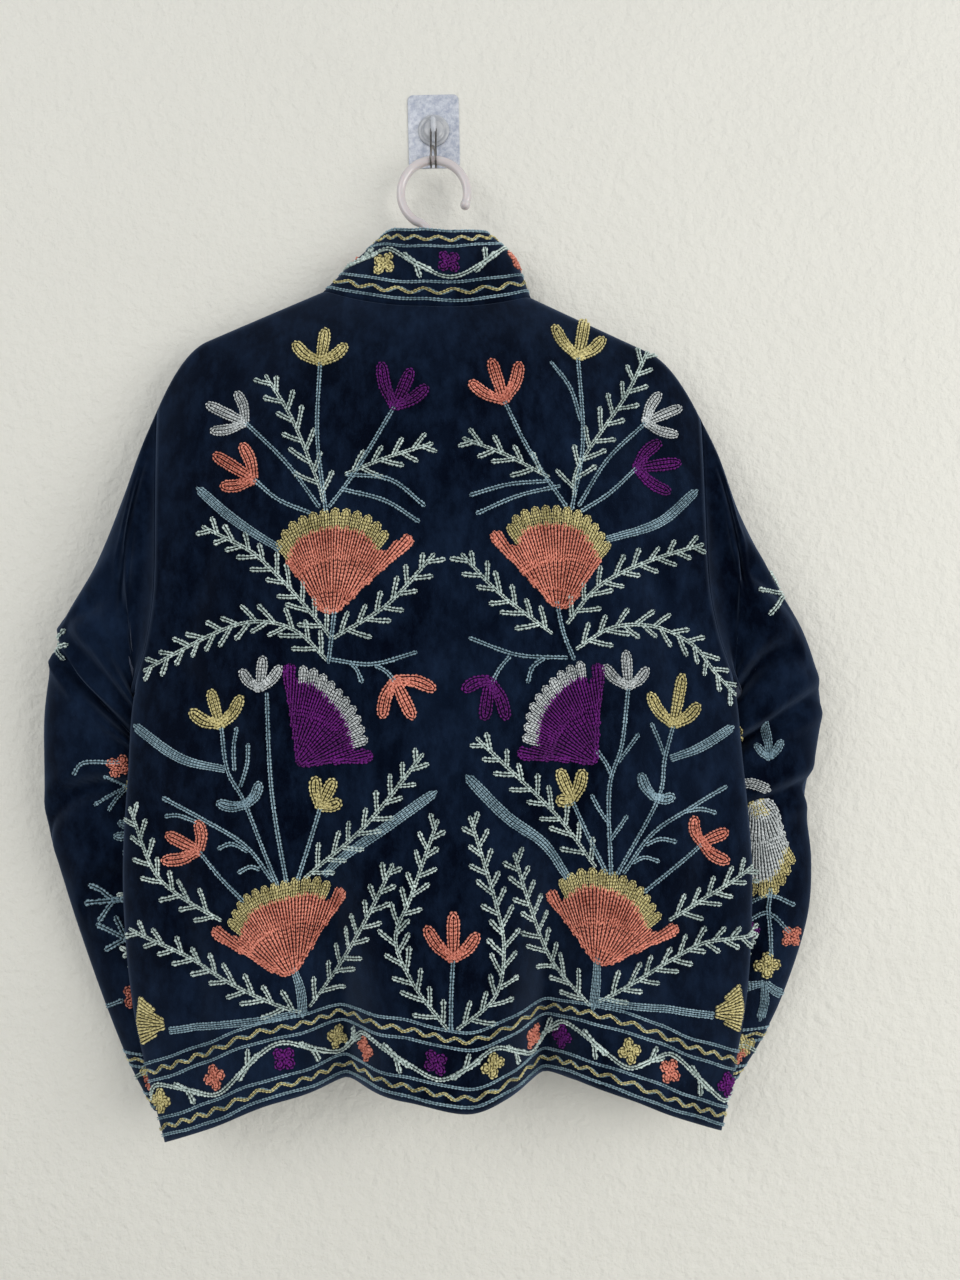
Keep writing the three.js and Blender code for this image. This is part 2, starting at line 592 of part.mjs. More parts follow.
function geometryOf(solid) {
  const mesh = solid.getMesh();
  const geometry = new THREE.BufferGeometry();
  geometry.setAttribute('position', new THREE.BufferAttribute(new Float32Array(mesh.vertProperties), 3));
  geometry.setIndex(new THREE.BufferAttribute(new Uint32Array(mesh.triVerts), 1));
  geometry.computeVertexNormals();
  return geometry;
}

// The hanger: two sloping arms under the shoulder folds, a neck, and an open ring.
function hangerGeometry() {
  const below = (CLOTH + ARM_CLEARANCE + ARM_RADIUS) * Math.hypot(1, SHOULDER_SLOPE);
  const reach = HANGER_REACH - ARM_END;
  const arms = [];
  for (let i = -ARM_BENDS; i <= ARM_BENDS; i += 1) {
    const x = (reach * i) / ARM_BENDS;
    const sag = ARM_SAG * (1 - smooth(NECK_HALF, NECK_HALF + 40, Math.abs(x)));
    const rounded = ARM_JOIN.sink * Math.exp(-((x / ARM_JOIN.width) ** 2));
    arms.push(toWorld(x, HANG_DEPTH, ridge(x) - below - sag - rounded));
  }
  const middle = arms[ARM_BENDS];
  const ring = [];
  for (let angle = RING_TIP_ANGLE; angle <= RING_FOOT_ANGLE; angle += RING_ANGLE_STEP) {
    const radians = THREE.MathUtils.degToRad(angle);
    ring.push(new THREE.Vector3(
      RING_RADIUS * Math.cos(radians),
      -HANG_DEPTH,
      -RING_DOWN + RING_RADIUS * Math.sin(radians),
    ));
  }
  const neckTop = new THREE.Vector3(0.6 * middle.x, -HANG_DEPTH, -RING_DOWN - RING_RADIUS - NECK_OF_HANGER);
  const hook = [...ring, neckTop, middle];
  const tip = new THREE.SphereGeometry(RING_TIP_BALL, 12, 8).translate(...ring[0].toArray());
  return geometryOf(
    tubeSolid(arms, ARM_RADIUS, 24, 6).add(tubeSolid(hook, HOOK_TUBE_RADIUS, 48, 6)).add(solidOf(tip)),
  );
}

// The stick-on pad with rounded corners, and the round boss on it.
function padGeometry() {
  const { width, height, thick, corner } = PAD;
  const shape = new THREE.Shape();
  const x = width / 2 - corner;
  const z = height / 2 - corner;
  shape.absarc(x, z, corner, 0, Math.PI / 2);
  shape.absarc(-x, z, corner, Math.PI / 2, Math.PI);
  shape.absarc(-x, -z, corner, Math.PI, 1.5 * Math.PI);
  shape.absarc(x, -z, corner, 1.5 * Math.PI, 2 * Math.PI);
  const sheet = new THREE.ExtrudeGeometry(shape, { depth: thick, bevelEnabled: false, curveSegments: 4 });
  sheet.rotateX(Math.PI / 2);
  const boss = new THREE.LatheGeometry(BOSS.map((at) => new THREE.Vector2(at.radius, at.height)), 24);
  boss.rotateX(Math.PI);
  return geometryOf(solidOf(sheet).add(solidOf(boss)));
}

// The hook wire: bent double, out of the boss, under the ring's tube and up in front of it.
function wireGeometry() {
  const ringTop = -RING_DOWN + RING_RADIUS;
  const under = ringTop - HOOK_TUBE_RADIUS - HOOK_CLEARANCE - WIRE_RADIUS;
  const startDepth = BOSS_HEIGHT + SEAM_GAP;
  const bend = HOOK_TUBE_RADIUS + HOOK_CLEARANCE + WIRE_RADIUS;
  const leg = (x) => [
    [x, startDepth + WIRE_RADIUS, -3],
    [x, startDepth + 5, -7],
    [x, HANG_DEPTH - bend - 1, -24],
    [x, HANG_DEPTH - bend * 0.75, under + bend * 0.42],
    [x, HANG_DEPTH, under],
    [x, HANG_DEPTH + bend * 0.75, under + bend * 0.42],
    [x, HANG_DEPTH + bend + 0.6, ringTop + 1],
  ];
  const top = [[0, HANG_DEPTH + bend + 1.6, ringTop + 9]];
  const points = [...leg(-WIRE_HALF_WIDTH), ...top, ...leg(WIRE_HALF_WIDTH).reverse()];
  return geometryOf(
    tubeSolid(points.map(([x, depth, z]) => new THREE.Vector3(x, -depth, z)), WIRE_RADIUS, 54, 3),
  );
}

const VELVET = new THREE.MeshStandardMaterial({ color: 0x0b1322, roughness: 0.85, metalness: 0 });
const HANGER_PLASTIC = new THREE.MeshStandardMaterial({ color: 0xd9cfcf, roughness: 0.35, metalness: 0 });
const CLEAR_PLASTIC = new THREE.MeshStandardMaterial({
  color: 0xdde3ea, roughness: 0.15, metalness: 0, transparent: true, opacity: 0.45,
});
const STEEL_WIRE = new THREE.MeshStandardMaterial({ color: 0x6e6a66, roughness: 0.35, metalness: 1 });

const part = new THREE.Group();
function addPiece(parent, name, geometry, material) {
  const mesh = new THREE.Mesh(geometry, material);
  mesh.name = name;
  parent.add(mesh);
}

// The back and each front are one cut of cloth. They are built in blocks, so that each block bends little
// and gets close collision. A span is a first and a last row or column.
const lastRow = bodyRows.length - 1;
const lastColumn = backShares.length - 1;
const neckColumns = [SIDE_STEPS, lastColumn - SIDE_STEPS];
const BACK_BANDS = { shoulder: [0, 8], chest: [8, 14], waist: [14, 20], skirt: [20, lastRow] };
const BACK_SPANS = { left: [0, neckColumns[0]], middle: neckColumns, right: [neckColumns[1], lastColumn] };
const FRONT_BANDS = { upper: [0, underarmRow], lower: [underarmRow, lastRow] };

const jacket = new THREE.Group();
for (const [band, rows] of Object.entries(BACK_BANDS)) {
  for (const [place, columns] of Object.entries(BACK_SPANS)) {
    const { outer, inner } = block(backGrids, rows, columns);
    addPiece(jacket, `back_${band}_${place}`, wall(outer, inner), VELVET);
  }
}
for (const [side, grids] of Object.entries(frontGrids)) {
  for (const [band, rows] of Object.entries(FRONT_BANDS)) {
    const { outer, inner } = block(grids, rows, [0, frontShares.length - 1]);
    addPiece(jacket, `front_${side}_${band}`, wall(outer, inner), VELVET);
  }
}
addPiece(jacket, 'sleeve_right', sleeveGeometry('right'), VELVET);
addPiece(jacket, 'sleeve_left', sleeveGeometry('left'), VELVET);
addPiece(jacket, 'collar', collarGeometry(), VELVET);
part.add(jacket);

const support = new THREE.Group();
addPiece(support, 'hanger', hangerGeometry(), HANGER_PLASTIC);
addPiece(support, 'hook_pad', padGeometry(), CLEAR_PLASTIC);
addPiece(support, 'hook_wire', wireGeometry(), STEEL_WIRE);
part.add(support);

export default part;
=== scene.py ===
# An embroidered velvet jacket, hung back outwards from a stick-on wall hook on a moulded plastic hanger.
# The sections follow how it hangs: wall, hook, hanger, jacket, and then the embroidery, motif by motif.
# Cloth is worked out in millimetres, with "down" for a height below the hook, and MM makes it metres.
import math

import bpy
import numpy as np
from mathutils import Euler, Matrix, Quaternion, Vector
from mathutils.bvhtree import BVHTree


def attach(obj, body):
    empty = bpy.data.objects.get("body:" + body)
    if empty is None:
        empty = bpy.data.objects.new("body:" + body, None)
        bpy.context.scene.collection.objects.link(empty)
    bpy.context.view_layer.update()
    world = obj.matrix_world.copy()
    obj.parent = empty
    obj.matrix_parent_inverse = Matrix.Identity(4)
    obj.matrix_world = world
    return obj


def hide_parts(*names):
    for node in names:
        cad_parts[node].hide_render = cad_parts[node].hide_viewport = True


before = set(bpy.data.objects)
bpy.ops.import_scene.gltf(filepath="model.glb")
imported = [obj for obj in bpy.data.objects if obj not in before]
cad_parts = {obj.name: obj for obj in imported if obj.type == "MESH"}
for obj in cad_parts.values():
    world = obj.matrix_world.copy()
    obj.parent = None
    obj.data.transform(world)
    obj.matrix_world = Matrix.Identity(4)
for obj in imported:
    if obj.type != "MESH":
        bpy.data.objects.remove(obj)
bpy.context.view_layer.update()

MM = 0.001

# ---------------------------------------------------------------------------------------------------
# The view: someone stands 0.9 m from the wall with the lens at the height of the jacket's middle, and
# holds the camera a little off level.
VIEW_AWAY = 0.9
VIEW_RIGHT = 0.032
VIEW_DOWN = 0.458
VIEW_ROLL = math.radians(1.2)
SENSOR, LENS = 36, 28.125
camera = bpy.data.objects.new("view", bpy.data.cameras.new("view"))
camera.data.sensor_width = SENSOR
camera.data.lens = LENS
camera.data.clip_start = 0.02
camera.location = (VIEW_RIGHT, -VIEW_AWAY, -VIEW_DOWN)
camera.rotation_mode = "QUATERNION"
level = Euler((math.pi / 2, 0, 0)).to_quaternion()
camera.rotation_quaternion = Quaternion((0, 1, 0), VIEW_ROLL) @ level
bpy.context.scene.collection.objects.link(camera)
bpy.context.scene.camera = camera


# ---------------------------------------------------------------------------------------------------
# The wall and the floor: painted plaster, warm white and a little uneven, and a pale floor far below.
# The wall lets light and sight through from behind, so the jacket's fronts can be looked at too.
WALL_COLOUR = (0.64, 0.635, 0.585)
FLOOR_COLOUR = (0.66, 0.65, 0.62)
WALL_REACH = 3.0
FLOOR_DOWN = 1.9


def fill_in(tree, made, **inputs):
    """Sets a node's inputs by name, or links them where the value is a socket. _3 is the input number 3."""
    for name, value in inputs.items():
        socket = made.inputs[int(name[1:])] if name[1:].isdigit() else made.inputs[name.replace("_", " ")]
        if isinstance(value, bpy.types.NodeSocket):
            tree.links.new(value, socket)
        else:
            socket.default_value = value


def node(tree, kind, settings=None, **inputs):
    """A shader node with its settings, and with its inputs filled in."""
    made = tree.nodes.new(kind)
    for name, value in (settings or {}).items():
        setattr(made, name, value)
    fill_in(tree, made, **inputs)
    return made


def noise(tree, place, scale, **settings):
    """The grey of a noise texture."""
    return node(tree, "ShaderNodeTexNoise", Vector=place, Scale=scale, **settings).outputs["Fac"]


def ranged(tree, value, given=(0, 1), wanted=(0, 1)):
    """A value moved from one range to another, and kept inside it."""
    return node(tree, "ShaderNodeMapRange", Value=value, _1=given[0], _2=given[1], _3=wanted[0],
                _4=wanted[1]).outputs[0]


def weighted(tree, value, weight, added=0.0):
    """A value times a weight, plus another value."""
    sum_up = {"operation": "MULTIPLY_ADD"}
    return node(tree, "ShaderNodeMath", sum_up, _0=value, _1=weight, _2=added).outputs[0]


def between(tree, mask, first, second):
    """The colour between two by a mask. The first may also be the socket of another colour."""
    start = first if isinstance(first, bpy.types.NodeSocket) else (*first, 1)
    return node(tree, "ShaderNodeMix", {"data_type": "RGBA"}, _0=mask, _6=start, _7=(*second, 1)).outputs[2]


def bump(tree, height, strength, distance, **inputs):
    """The normal of a surface with a relief. distance is in metres."""
    return node(tree, "ShaderNodeBump", Height=height, Strength=strength, Distance=distance,
                **inputs).outputs["Normal"]


def new_material(name):
    """A material, its node tree and its Principled shader."""
    material = bpy.data.materials.new(name)
    material.use_nodes = True
    tree = material.node_tree
    return material, tree, tree.nodes["Principled BSDF"]


def flat_stage(name, corners, colour, relief):
    """A flat surface of the room, a little uneven in its colour, with a fine relief."""
    mesh = bpy.data.meshes.new(name)
    mesh.from_pydata(corners, [], [(0, 1, 2, 3)])
    piece = bpy.data.objects.new(name, mesh)
    bpy.context.scene.collection.objects.link(piece)
    material, tree, shader = new_material(name)
    place = node(tree, "ShaderNodeTexCoord").outputs["Object"]
    broad = noise(tree, place, 7.0, Detail=3.0, Roughness=0.6)
    fine = noise(tree, place, 90.0, Detail=4.0, Roughness=0.6)
    darker, lighter = ([share * c for c in colour] for share in (0.97, 1.03))
    fill_in(tree, shader, Base_Color=between(tree, broad, darker, lighter), Roughness=0.9,
            Normal=bump(tree, fine, relief, 0.004))
    mesh.materials.append(material)
    return tree, shader


ground, far = -FLOOR_DOWN, WALL_REACH
wall_corners = [(-far, 0, ground), (far, 0, ground), (far, 0, far), (-far, 0, far)]
floor_corners = [(-far, -far, ground), (far, -far, ground), (far, far, ground), (-far, far, ground)]
tree, shader = flat_stage("wall", wall_corners, WALL_COLOUR, relief=0.8)
clear = node(tree, "ShaderNodeBsdfTransparent").outputs[0]
behind = node(tree, "ShaderNodeNewGeometry").outputs["Backfacing"]
shadow = node(tree, "ShaderNodeLightPath").outputs["Is Shadow Ray"]
either = node(tree, "ShaderNodeMath", {"operation": "MAXIMUM"}, _0=behind, _1=shadow).outputs[0]
seen = node(tree, "ShaderNodeMixShader", _0=either, _1=shader.outputs[0], _2=clear).outputs[0]
fill_in(tree, tree.nodes["Material Output"], Surface=seen)
flat_stage("floor", floor_corners, FLOOR_COLOUR, relief=0.1)


# ---------------------------------------------------------------------------------------------------
# The light: a broad window up to the left, the lit room to the right, and a pale sky all round. A third
# one, beyond the wall, lights the fronts when they are looked at from behind.
def soft_light(name, place, aim, wide, power, colour):
    """A square light in metres and watts, turned towards a place."""
    lamp = bpy.data.lights.new(name, "AREA")
    lamp.size = wide
    lamp.energy = power
    lamp.color = colour
    piece = bpy.data.objects.new(name, lamp)
    piece.location = place
    piece.rotation_euler = (Vector(aim) - Vector(place)).to_track_quat("-Z", "Y").to_euler()
    bpy.context.scene.collection.objects.link(piece)


soft_light("window", (-1.5, -2.0, 0.5), aim=(0, 0, -0.6), wide=1.8, power=25, colour=(1.0, 0.99, 0.97))
soft_light("room", (1.8, -1.6, -0.3), aim=(0, 0, -0.7), wide=1.6, power=36, colour=(1.0, 0.98, 0.95))
soft_light("behind", (0.5, 1.9, 0.6), aim=(0, 0, -0.5), wide=1.8, power=26, colour=(1.0, 1.0, 1.0))
world = bpy.data.worlds.new("room")
world.use_nodes = True
world.node_tree.nodes["Background"].inputs["Color"].default_value = (0.86, 0.88, 0.92, 1)
world.node_tree.nodes["Background"].inputs["Strength"].default_value = 0.62
bpy.context.scene.world = world
bpy.context.scene.view_settings.view_transform = "Standard"


# ---------------------------------------------------------------------------------------------------
# The hook's pad: a clear sheet with rounded corners that sticks to the wall, and a round clear boss on
# its middle that holds the wire. It is injection moulded and stays see-through.
PAD_WIDE, PAD_HIGH, PAD_THICK, PAD_CORNER = 46, 66, 1.2, 5
# The boss's radius, and how far out it stands there: a rounded rim, a groove, and a domed middle.
BOSS_PROFILE = [(14, 0), (14, 2.6), (13.5, 3.5), (12.6, 3.9), (11.7, 3.6), (11.0, 2.6), (9.6, 2.4),
                (8.9, 4.4), (8.4, 5.4), (6.8, 6.1), (3, 6.4)]
BOSS_FLAT, BOSS_SIDES = (7 - PAD_THICK) / 7, 48
POST_PATH, POST_THICK = [(0, -7.2, 8), (0, -7.6, 0), (0, -8.6, -11)], 2.3


def add_piece(name, points, faces, materials, indices=None):
    """An object from points in millimetres and an array of three- or four-sided faces."""
    mesh = bpy.data.meshes.new(name)
    points = np.ascontiguousarray(points, dtype=np.float32) * MM
    faces = np.ascontiguousarray(faces, dtype=np.int32)
    mesh.vertices.add(len(points))
    mesh.vertices.foreach_set("co", points.ravel())
    mesh.loops.add(faces.size)
    mesh.loops.foreach_set("vertex_index", faces.ravel())
    mesh.polygons.add(len(faces))
    mesh.polygons.foreach_set("loop_start", np.arange(0, faces.size, faces.shape[1], dtype=np.int32))
    for material in materials:
        mesh.materials.append(material)
    if indices is not None:
        mesh.polygons.foreach_set("material_index", np.ascontiguousarray(indices, dtype=np.int32))
    mesh.update(calc_edges=True)
    mesh.polygons.foreach_set("use_smooth", np.ones(len(faces), dtype=bool))
    piece = bpy.data.objects.new(name, mesh)
    bpy.context.scene.collection.objects.link(piece)
    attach(piece, "root")
    return piece


def ring_quads(count, sides):
    """Quads between rings of points that follow each other."""
    i, j = np.meshgrid(np.arange(count - 1), np.arange(sides), indexing="ij")
    k = (j + 1) % sides
    quads = np.stack([i * sides + j, i * sides + k, (i + 1) * sides + k, (i + 1) * sides + j], -1)
    return quads.reshape(-1, 4)


def turned_rings(rings):
    """Points and quads of a closed skin over rings of points, each end drawn in to its middle."""
    rings = np.asarray(rings, float)
    count, sides = rings.shape[:2]
    ends = [rings[0].mean(0), rings[-1].mean(0)]
    cap = [rings[0] * 1e-3 + ends[0] * (1 - 1e-3), rings[-1] * 1e-3 + ends[1] * (1 - 1e-3)]
    rings = np.concatenate([cap[:1], rings, cap[1:]])
    return rings.reshape(-1, 3), ring_quads(count + 2, sides)


def joined(skins):
    """Several skins as one: their points, their faces, and the number of the skin of each face."""
    starts = np.cumsum([0] + [len(points) for points, _ in skins])
    faces = [faces + start for (_, faces), start in zip(skins, starts)]
    owners = np.repeat(np.arange(len(skins)), [len(part) for part in faces])
    return np.concatenate([points for points, _ in skins]), np.concatenate(faces), owners


def pad_ring(inset, out):
    """The rounded outline of the pad, this far inside its edge and this far out from the wall."""
    quarter = np.linspace(0, math.pi / 2, 7)
    ring = []
    for turn, (sx, sz) in enumerate([(1, 1), (-1, 1), (-1, -1), (1, -1)]):
        angle = quarter + turn * math.pi / 2
        x = sx * (PAD_WIDE / 2 - PAD_CORNER) + (PAD_CORNER - inset) * np.cos(angle)
        z = sz * (PAD_HIGH / 2 - PAD_CORNER) + (PAD_CORNER - inset) * np.sin(angle)
        ring.append(np.stack([x, np.full_like(x, -out), z], -1))
    return np.concatenate(ring)


def curve_through(points, step):
    """Evenly set points on a smooth curve through the given ones."""
    points = np.asarray(points, float)
    if len(points) == 2:
        steps = max(2, int(np.linalg.norm(points[1] - points[0]) / step) + 1)
        return points[0] + (points[1] - points[0]) * np.linspace(0, 1, steps)[:, None]
    first, last = 2 * points[0] - points[1], 2 * points[-1] - points[-2]
    around = np.concatenate([[first], points, [last]])
    pieces = []
    for a, b, c, d in zip(around, around[1:], around[2:], around[3:]):
        t = np.linspace(0, 1, max(3, int(np.linalg.norm(c - b) / step) + 1))[:-1, None]
        pieces.append(0.5 * (2 * b + (c - a) * t + (2 * a - 5 * b + 4 * c - d) * t**2
                             + (3 * b - a - 3 * c + d) * t**3))
    return np.concatenate([*pieces, points[-1:]])


def round_tube(path, radius, sides=16):
    """Rings of a tube with round ends along a path."""
    path = np.asarray(path, float)
    round_end = ((0.45, 0.9), (0.8, 0.6), (0.97, 0.26))
    ahead = np.gradient(path, axis=0)
    ahead /= np.linalg.norm(ahead, axis=1)[:, None]
    side = np.cross(ahead[0], (0, 1, 0) if abs(ahead[0][1]) < 0.9 else (1, 0, 0))
    spin = np.linspace(0, 2 * math.pi, sides, endpoint=False)
    rings = []
    for i, (point, forward) in enumerate(zip(path, ahead)):
        side = side - forward * side.dot(forward)
        side /= np.linalg.norm(side)
        up = np.cross(forward, side)
        ring = np.cos(spin)[:, None] * side + np.sin(spin)[:, None] * up
        if i == 0:
            rings += [point - forward * radius * s + ring * radius * c for s, c in reversed(round_end)]
        rings.append(point + ring * radius)
    return rings + [point + forward * radius * s + ring * radius * c for s, c in round_end]


def see_through(name, dark, light, grain, clearness):
    """Clear plastic with a haze of fine specks and scratches in it."""
    material, tree, shader = new_material(name)
    place = node(tree, "ShaderNodeTexCoord").outputs["Object"]
    haze = noise(tree, place, grain, Detail=4.0, Roughness=0.7)
    tint = between(tree, ranged(tree, haze, given=(0.36, 0.66)), dark, light)
    fill_in(tree, shader, Base_Color=tint, Roughness=ranged(tree, haze, wanted=(0.08, 0.26)), IOR=1.45,
            Normal=bump(tree, haze, 0.35, 0.0008), Transmission_Weight=clearness, Coat_Weight=0.3)
    return material


pad_plastic = see_through("pad_plastic", (0.50, 0.55, 0.66), (0.86, 0.89, 0.96), 260.0, 0.45)
boss_plastic = see_through("boss_plastic", (0.74, 0.78, 0.85), (0.95, 0.97, 1.0), 80.0, 0.55)

plate = [pad_ring(0.0, 0.02), pad_ring(0.0, 0.8), pad_ring(0.12, 1.05), pad_ring(0.45, PAD_THICK)]
spin = np.linspace(0, 2 * math.pi, BOSS_SIDES, endpoint=False)
boss = []
for radius, out in BOSS_PROFILE:
    depth = np.full_like(spin, -PAD_THICK - out * BOSS_FLAT)
    boss.append(np.stack([radius * np.cos(spin), depth, radius * np.sin(spin)], -1))
skins = [turned_rings(rings) for rings in (plate, boss, round_tube(POST_PATH, POST_THICK))]
points, faces, owners = joined(skins)
plastics = [pad_plastic, boss_plastic]
pad = add_piece("pad_and_boss", points, faces, plastics, np.minimum(1, owners))
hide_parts("hook_pad")


# ---------------------------------------------------------------------------------------------------
# The hook's wire: thin steel wire bent double like a hairpin. It comes out of the boss, runs down under
# the ring's tube and turns up in front of it.
RING_DOWN, RING_ROUND, RING_TUBE = 67, 29, 3.8
HANG_DEPTH = 26
WIRE_THIN, WIRE_APART, WIRE_CLEAR = 0.8, 2.2, 0.7

steel_wire, tree, shader = new_material("steel_wire")
wear = noise(tree, node(tree, "ShaderNodeTexCoord").outputs["Object"], 400.0, Detail=3.0)
tint = between(tree, wear, (0.07, 0.065, 0.06), (0.20, 0.19, 0.18))
fill_in(tree, shader, Base_Color=tint, Roughness=ranged(tree, wear, wanted=(0.28, 0.45)), Metallic=1.0)

ring_top = -RING_DOWN + RING_ROUND
turn_under = RING_TUBE + WIRE_CLEAR + WIRE_THIN
under = ring_top - turn_under
leg = [(8.0 - WIRE_THIN, -1), (8.4, -4.5), (12.3, -7.2), (HANG_DEPTH - turn_under - 1, -24),
       (HANG_DEPTH - turn_under * 0.75, under + turn_under * 0.42), (HANG_DEPTH, under),
       (HANG_DEPTH + turn_under * 0.75, under + turn_under * 0.42),
       (HANG_DEPTH + turn_under + 0.6, ring_top + 1)]
wire = [(-WIRE_APART, -depth, z) for depth, z in leg] + [(0, -HANG_DEPTH - turn_under - 1.6, ring_top + 9)]
wire += [(WIRE_APART, -depth, z) for depth, z in reversed(leg)]
points, faces = turned_rings(round_tube(curve_through(wire, 0.8), WIRE_THIN, 10))
hook_wire = add_piece("bent_wire", points, faces, [steel_wire])
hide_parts("hook_wire")


# ---------------------------------------------------------------------------------------------------
# The hanger: one moulding in pinkish-white plastic. Two sloping arms carry the shoulders, and a short
# neck rises from them to an open ring with a small ball at its tip.
HANGER_REACH = 192
RIDGE_DOWN, SHOULDER_SLOPE = 116, 0.445
JACKET_SHIFT, JACKET_TILT, TILT_END_DOWN = -8, 0.05, 600
CLOTH = 1.8
ARM_THICK, ARM_CLEAR = 4, 0.8
RING_TIP, RING_FOOT = -21, 259
TIP_BALL, TUBE_SIDES = 4.5, 20


def smooth(low, high, at):
    """From 0 at a low value to 1 at a high one, level at both ends."""
    t = np.clip((at - low) / (high - low), 0, 1)
    return t * t * (3 - 2 * t)


def in_room(x, depth, down):
    """Points of the jacket, which hangs a little to the left and higher at its left shoulder."""
    tilt = JACKET_TILT * (1 - smooth(RIDGE_DOWN, TILT_END_DOWN, down))
    return np.stack(np.broadcast_arrays(x + JACKET_SHIFT, -depth, -down - tilt * x), -1)


hanger_plastic, tree, shader = new_material("hanger_plastic")
place = node(tree, "ShaderNodeTexCoord").outputs["Object"]
tint = between(tree, noise(tree, place, 25.0, Detail=4.0), (0.45, 0.41, 0.415), (0.60, 0.56, 0.56))
scuffs = noise(tree, place, 180.0, Detail=5.0)
fill_in(tree, shader, Base_Color=tint, Roughness=ranged(tree, scuffs, wanted=(0.12, 0.26)),
        Normal=bump(tree, scuffs, 0.08, 0.0004), Coat_Weight=0.5, Subsurface_Weight=0.08,
        Subsurface_Scale=0.004)

angle = np.radians(np.arange(RING_TIP, RING_FOOT, 5.0))
ring = np.stack([RING_ROUND * np.cos(angle), np.full_like(angle, -HANG_DEPTH),
                 -RING_DOWN + RING_ROUND * np.sin(angle)], -1)
below = (CLOTH + ARM_CLEAR + ARM_THICK) * math.hypot(1, SHOULDER_SLOPE)
arm_x = np.linspace(6 - HANGER_REACH, HANGER_REACH - 6, 61)
arm_down = RIDGE_DOWN + SHOULDER_SLOPE * np.abs(arm_x) + below + 1.2 * (1 - smooth(91, 131, np.abs(arm_x)))
arm_down += 4 * np.exp(-((arm_x / 16) ** 2))
arms = in_room(arm_x, np.full_like(arm_x, HANG_DEPTH), arm_down)
arm_middle = arms[30]
neck = [(arm_middle[0] * 0.6, -HANG_DEPTH, -RING_DOWN - RING_ROUND - 8), tuple(arm_middle)]
hook = curve_through([*ring[::3], *neck], 2.0)
ball = [ring[0], ring[1] * 0.02 + ring[0] * 0.98]
tubes = ((arms, ARM_THICK), (hook, RING_TUBE), (ball, TIP_BALL))
points, faces, _ = joined([turned_rings(round_tube(path, radius, TUBE_SIDES)) for path, radius in tubes])
hanger = add_piece("ring_hanger", points, faces, [hanger_plastic])
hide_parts("hanger")


# ---------------------------------------------------------------------------------------------------
# The back: one piece of blue-black cotton velvet with a plain cotton backing. It drapes from the hanger's
# arms, fills out at the shoulder blades, and falls into two deep folds that run up from the hem.
NECK_HALF, SEAM_HALF = 91, 235
SHOULDER_FALL, SHOULDER_ROUND, OPENING_LENGTH = 0.0406, 8, 90
NECK_BACK_DOWN, NECK_FRONT_DOWN = 177, 245
UNDERARM_DOWN, CLOSING_DOWN = 500, 380
# The body at heights of it: half its width, and how far the back stands out at its middle and its sides, past
# the hanger, and the side edges from the wall.
BODY = {
    "down": [115, 261, 350, 412, 456, 500, 560, 640, 700, 760, 810, 880],
    "half": [235, 235, 234, 235, 243, 257, 261, 266, 265, 260, 251, 235],
    "centre": [56, 58, 60, 61, 62, 63, 64, 65, 65, 65, 64, 64],
    "side": [20, 22, 24, 26, 28, 31, 36, 40, 39, 37, 35, 33],
    "edge": [32, 32, 34, 37, 39, 42, 49, 52, 53, 54, 54, 54],
}
HEM_BACK = {
    "share": [-1, -0.8, -0.6, -0.45, -0.1, 0.08, 0.2, 0.4, 0.52, 0.65, 0.8, 1],
    "down": [877, 857, 834, 829, 829, 839, 833, 826, 825, 836, 855, 877],
}
HEM_FRONT = {"share": [0, 0.3, 0.6, 0.85, 1], "down": [832, 835, 842, 858, 877]}
BACK_FOLDS = [
    {"x": -81, "lean": -10, "width": 27, "deep": 49},
    {"x": 87, "lean": 14, "width": 26, "deep": 49},
]
FOLD_START_DOWN, FOLD_FULL_DOWN = 540, 850
EVEN_START_DOWN, EVEN_FULL_DOWN, EVEN_MARKS = 330, 470, 49
FOLD_SOFT, FOLD_SHARP = 0.1, 1.5
FRONT_NEAR_WALL, FRONT_PAST_SLEEVE, FRONT_STEP_START_DOWN = 8, -22, 400
FRONT_STEP = {"down": [470, 600, 850], "from": [118, 104, 70], "to": [178, 162, 122]}
CRUMPLE = 1.5
# Soft creases: their two ends as (x, down), how wide and how deep each is. A ridge's depth is below zero.
BACK_CREASES = [
    ((-150, 215), (-196, 330), 16, 1.8),
    ((150, 225), (202, 352), 15, 2.2),
    ((-176, 350), (-222, 500), 13, 2.6),
    ((-60, 200), (-96, 420), 30, 2.2),
    ((72, 205), (104, 430), 30, 2.4),
    ((182, 372), (206, 520), 12, 3.0),
    ((-238, 440), (-150, 560), 12, 2.4),
    ((240, 470), (170, 566), 12, 2.6),
    ((-236, 560), (-196, 760), 15, 2.8),
    ((236, 560), (208, 770), 14, 3.0),
    ((-128, 500), (-134, 700), 22, -2.6),
    ((140, 520), (136, 720), 22, -2.4),
    ((-24, 560), (-30, 800), 16, 1.6),
    ((40, 600), (34, 790), 14, 1.4),
    ((-196, 700), (-206, 850), 12, 2.0),
    ((186, 700), (190, 850), 12, 2.2),
]


def along(table, key, column, at):
    """The value of a column at a place along a table, on a smooth curve."""
    keys, values = np.array(table[key], float), np.array(table[column], float)
    slopes = np.gradient(values)
    slopes[1:-1] = (values[2:] - values[:-2]) / (keys[2:] - keys[:-2])
    slopes[0] = (values[1] - values[0]) / (keys[1] - keys[0])
    slopes[-1] = (values[-1] - values[-2]) / (keys[-1] - keys[-2])
    i = np.clip(np.searchsorted(keys, at, side="left") - 1, 0, len(keys) - 2)
    span, rise = keys[i + 1] - keys[i], values[i + 1] - values[i]
    t = np.clip((at - keys[i]) / span, 0, 1)
    bend_in, bend_out = slopes[i] * span - rise, rise - slopes[i + 1] * span
    return values[i] + rise * t + t * (1 - t) * (bend_in * (1 - t) + bend_out * t)


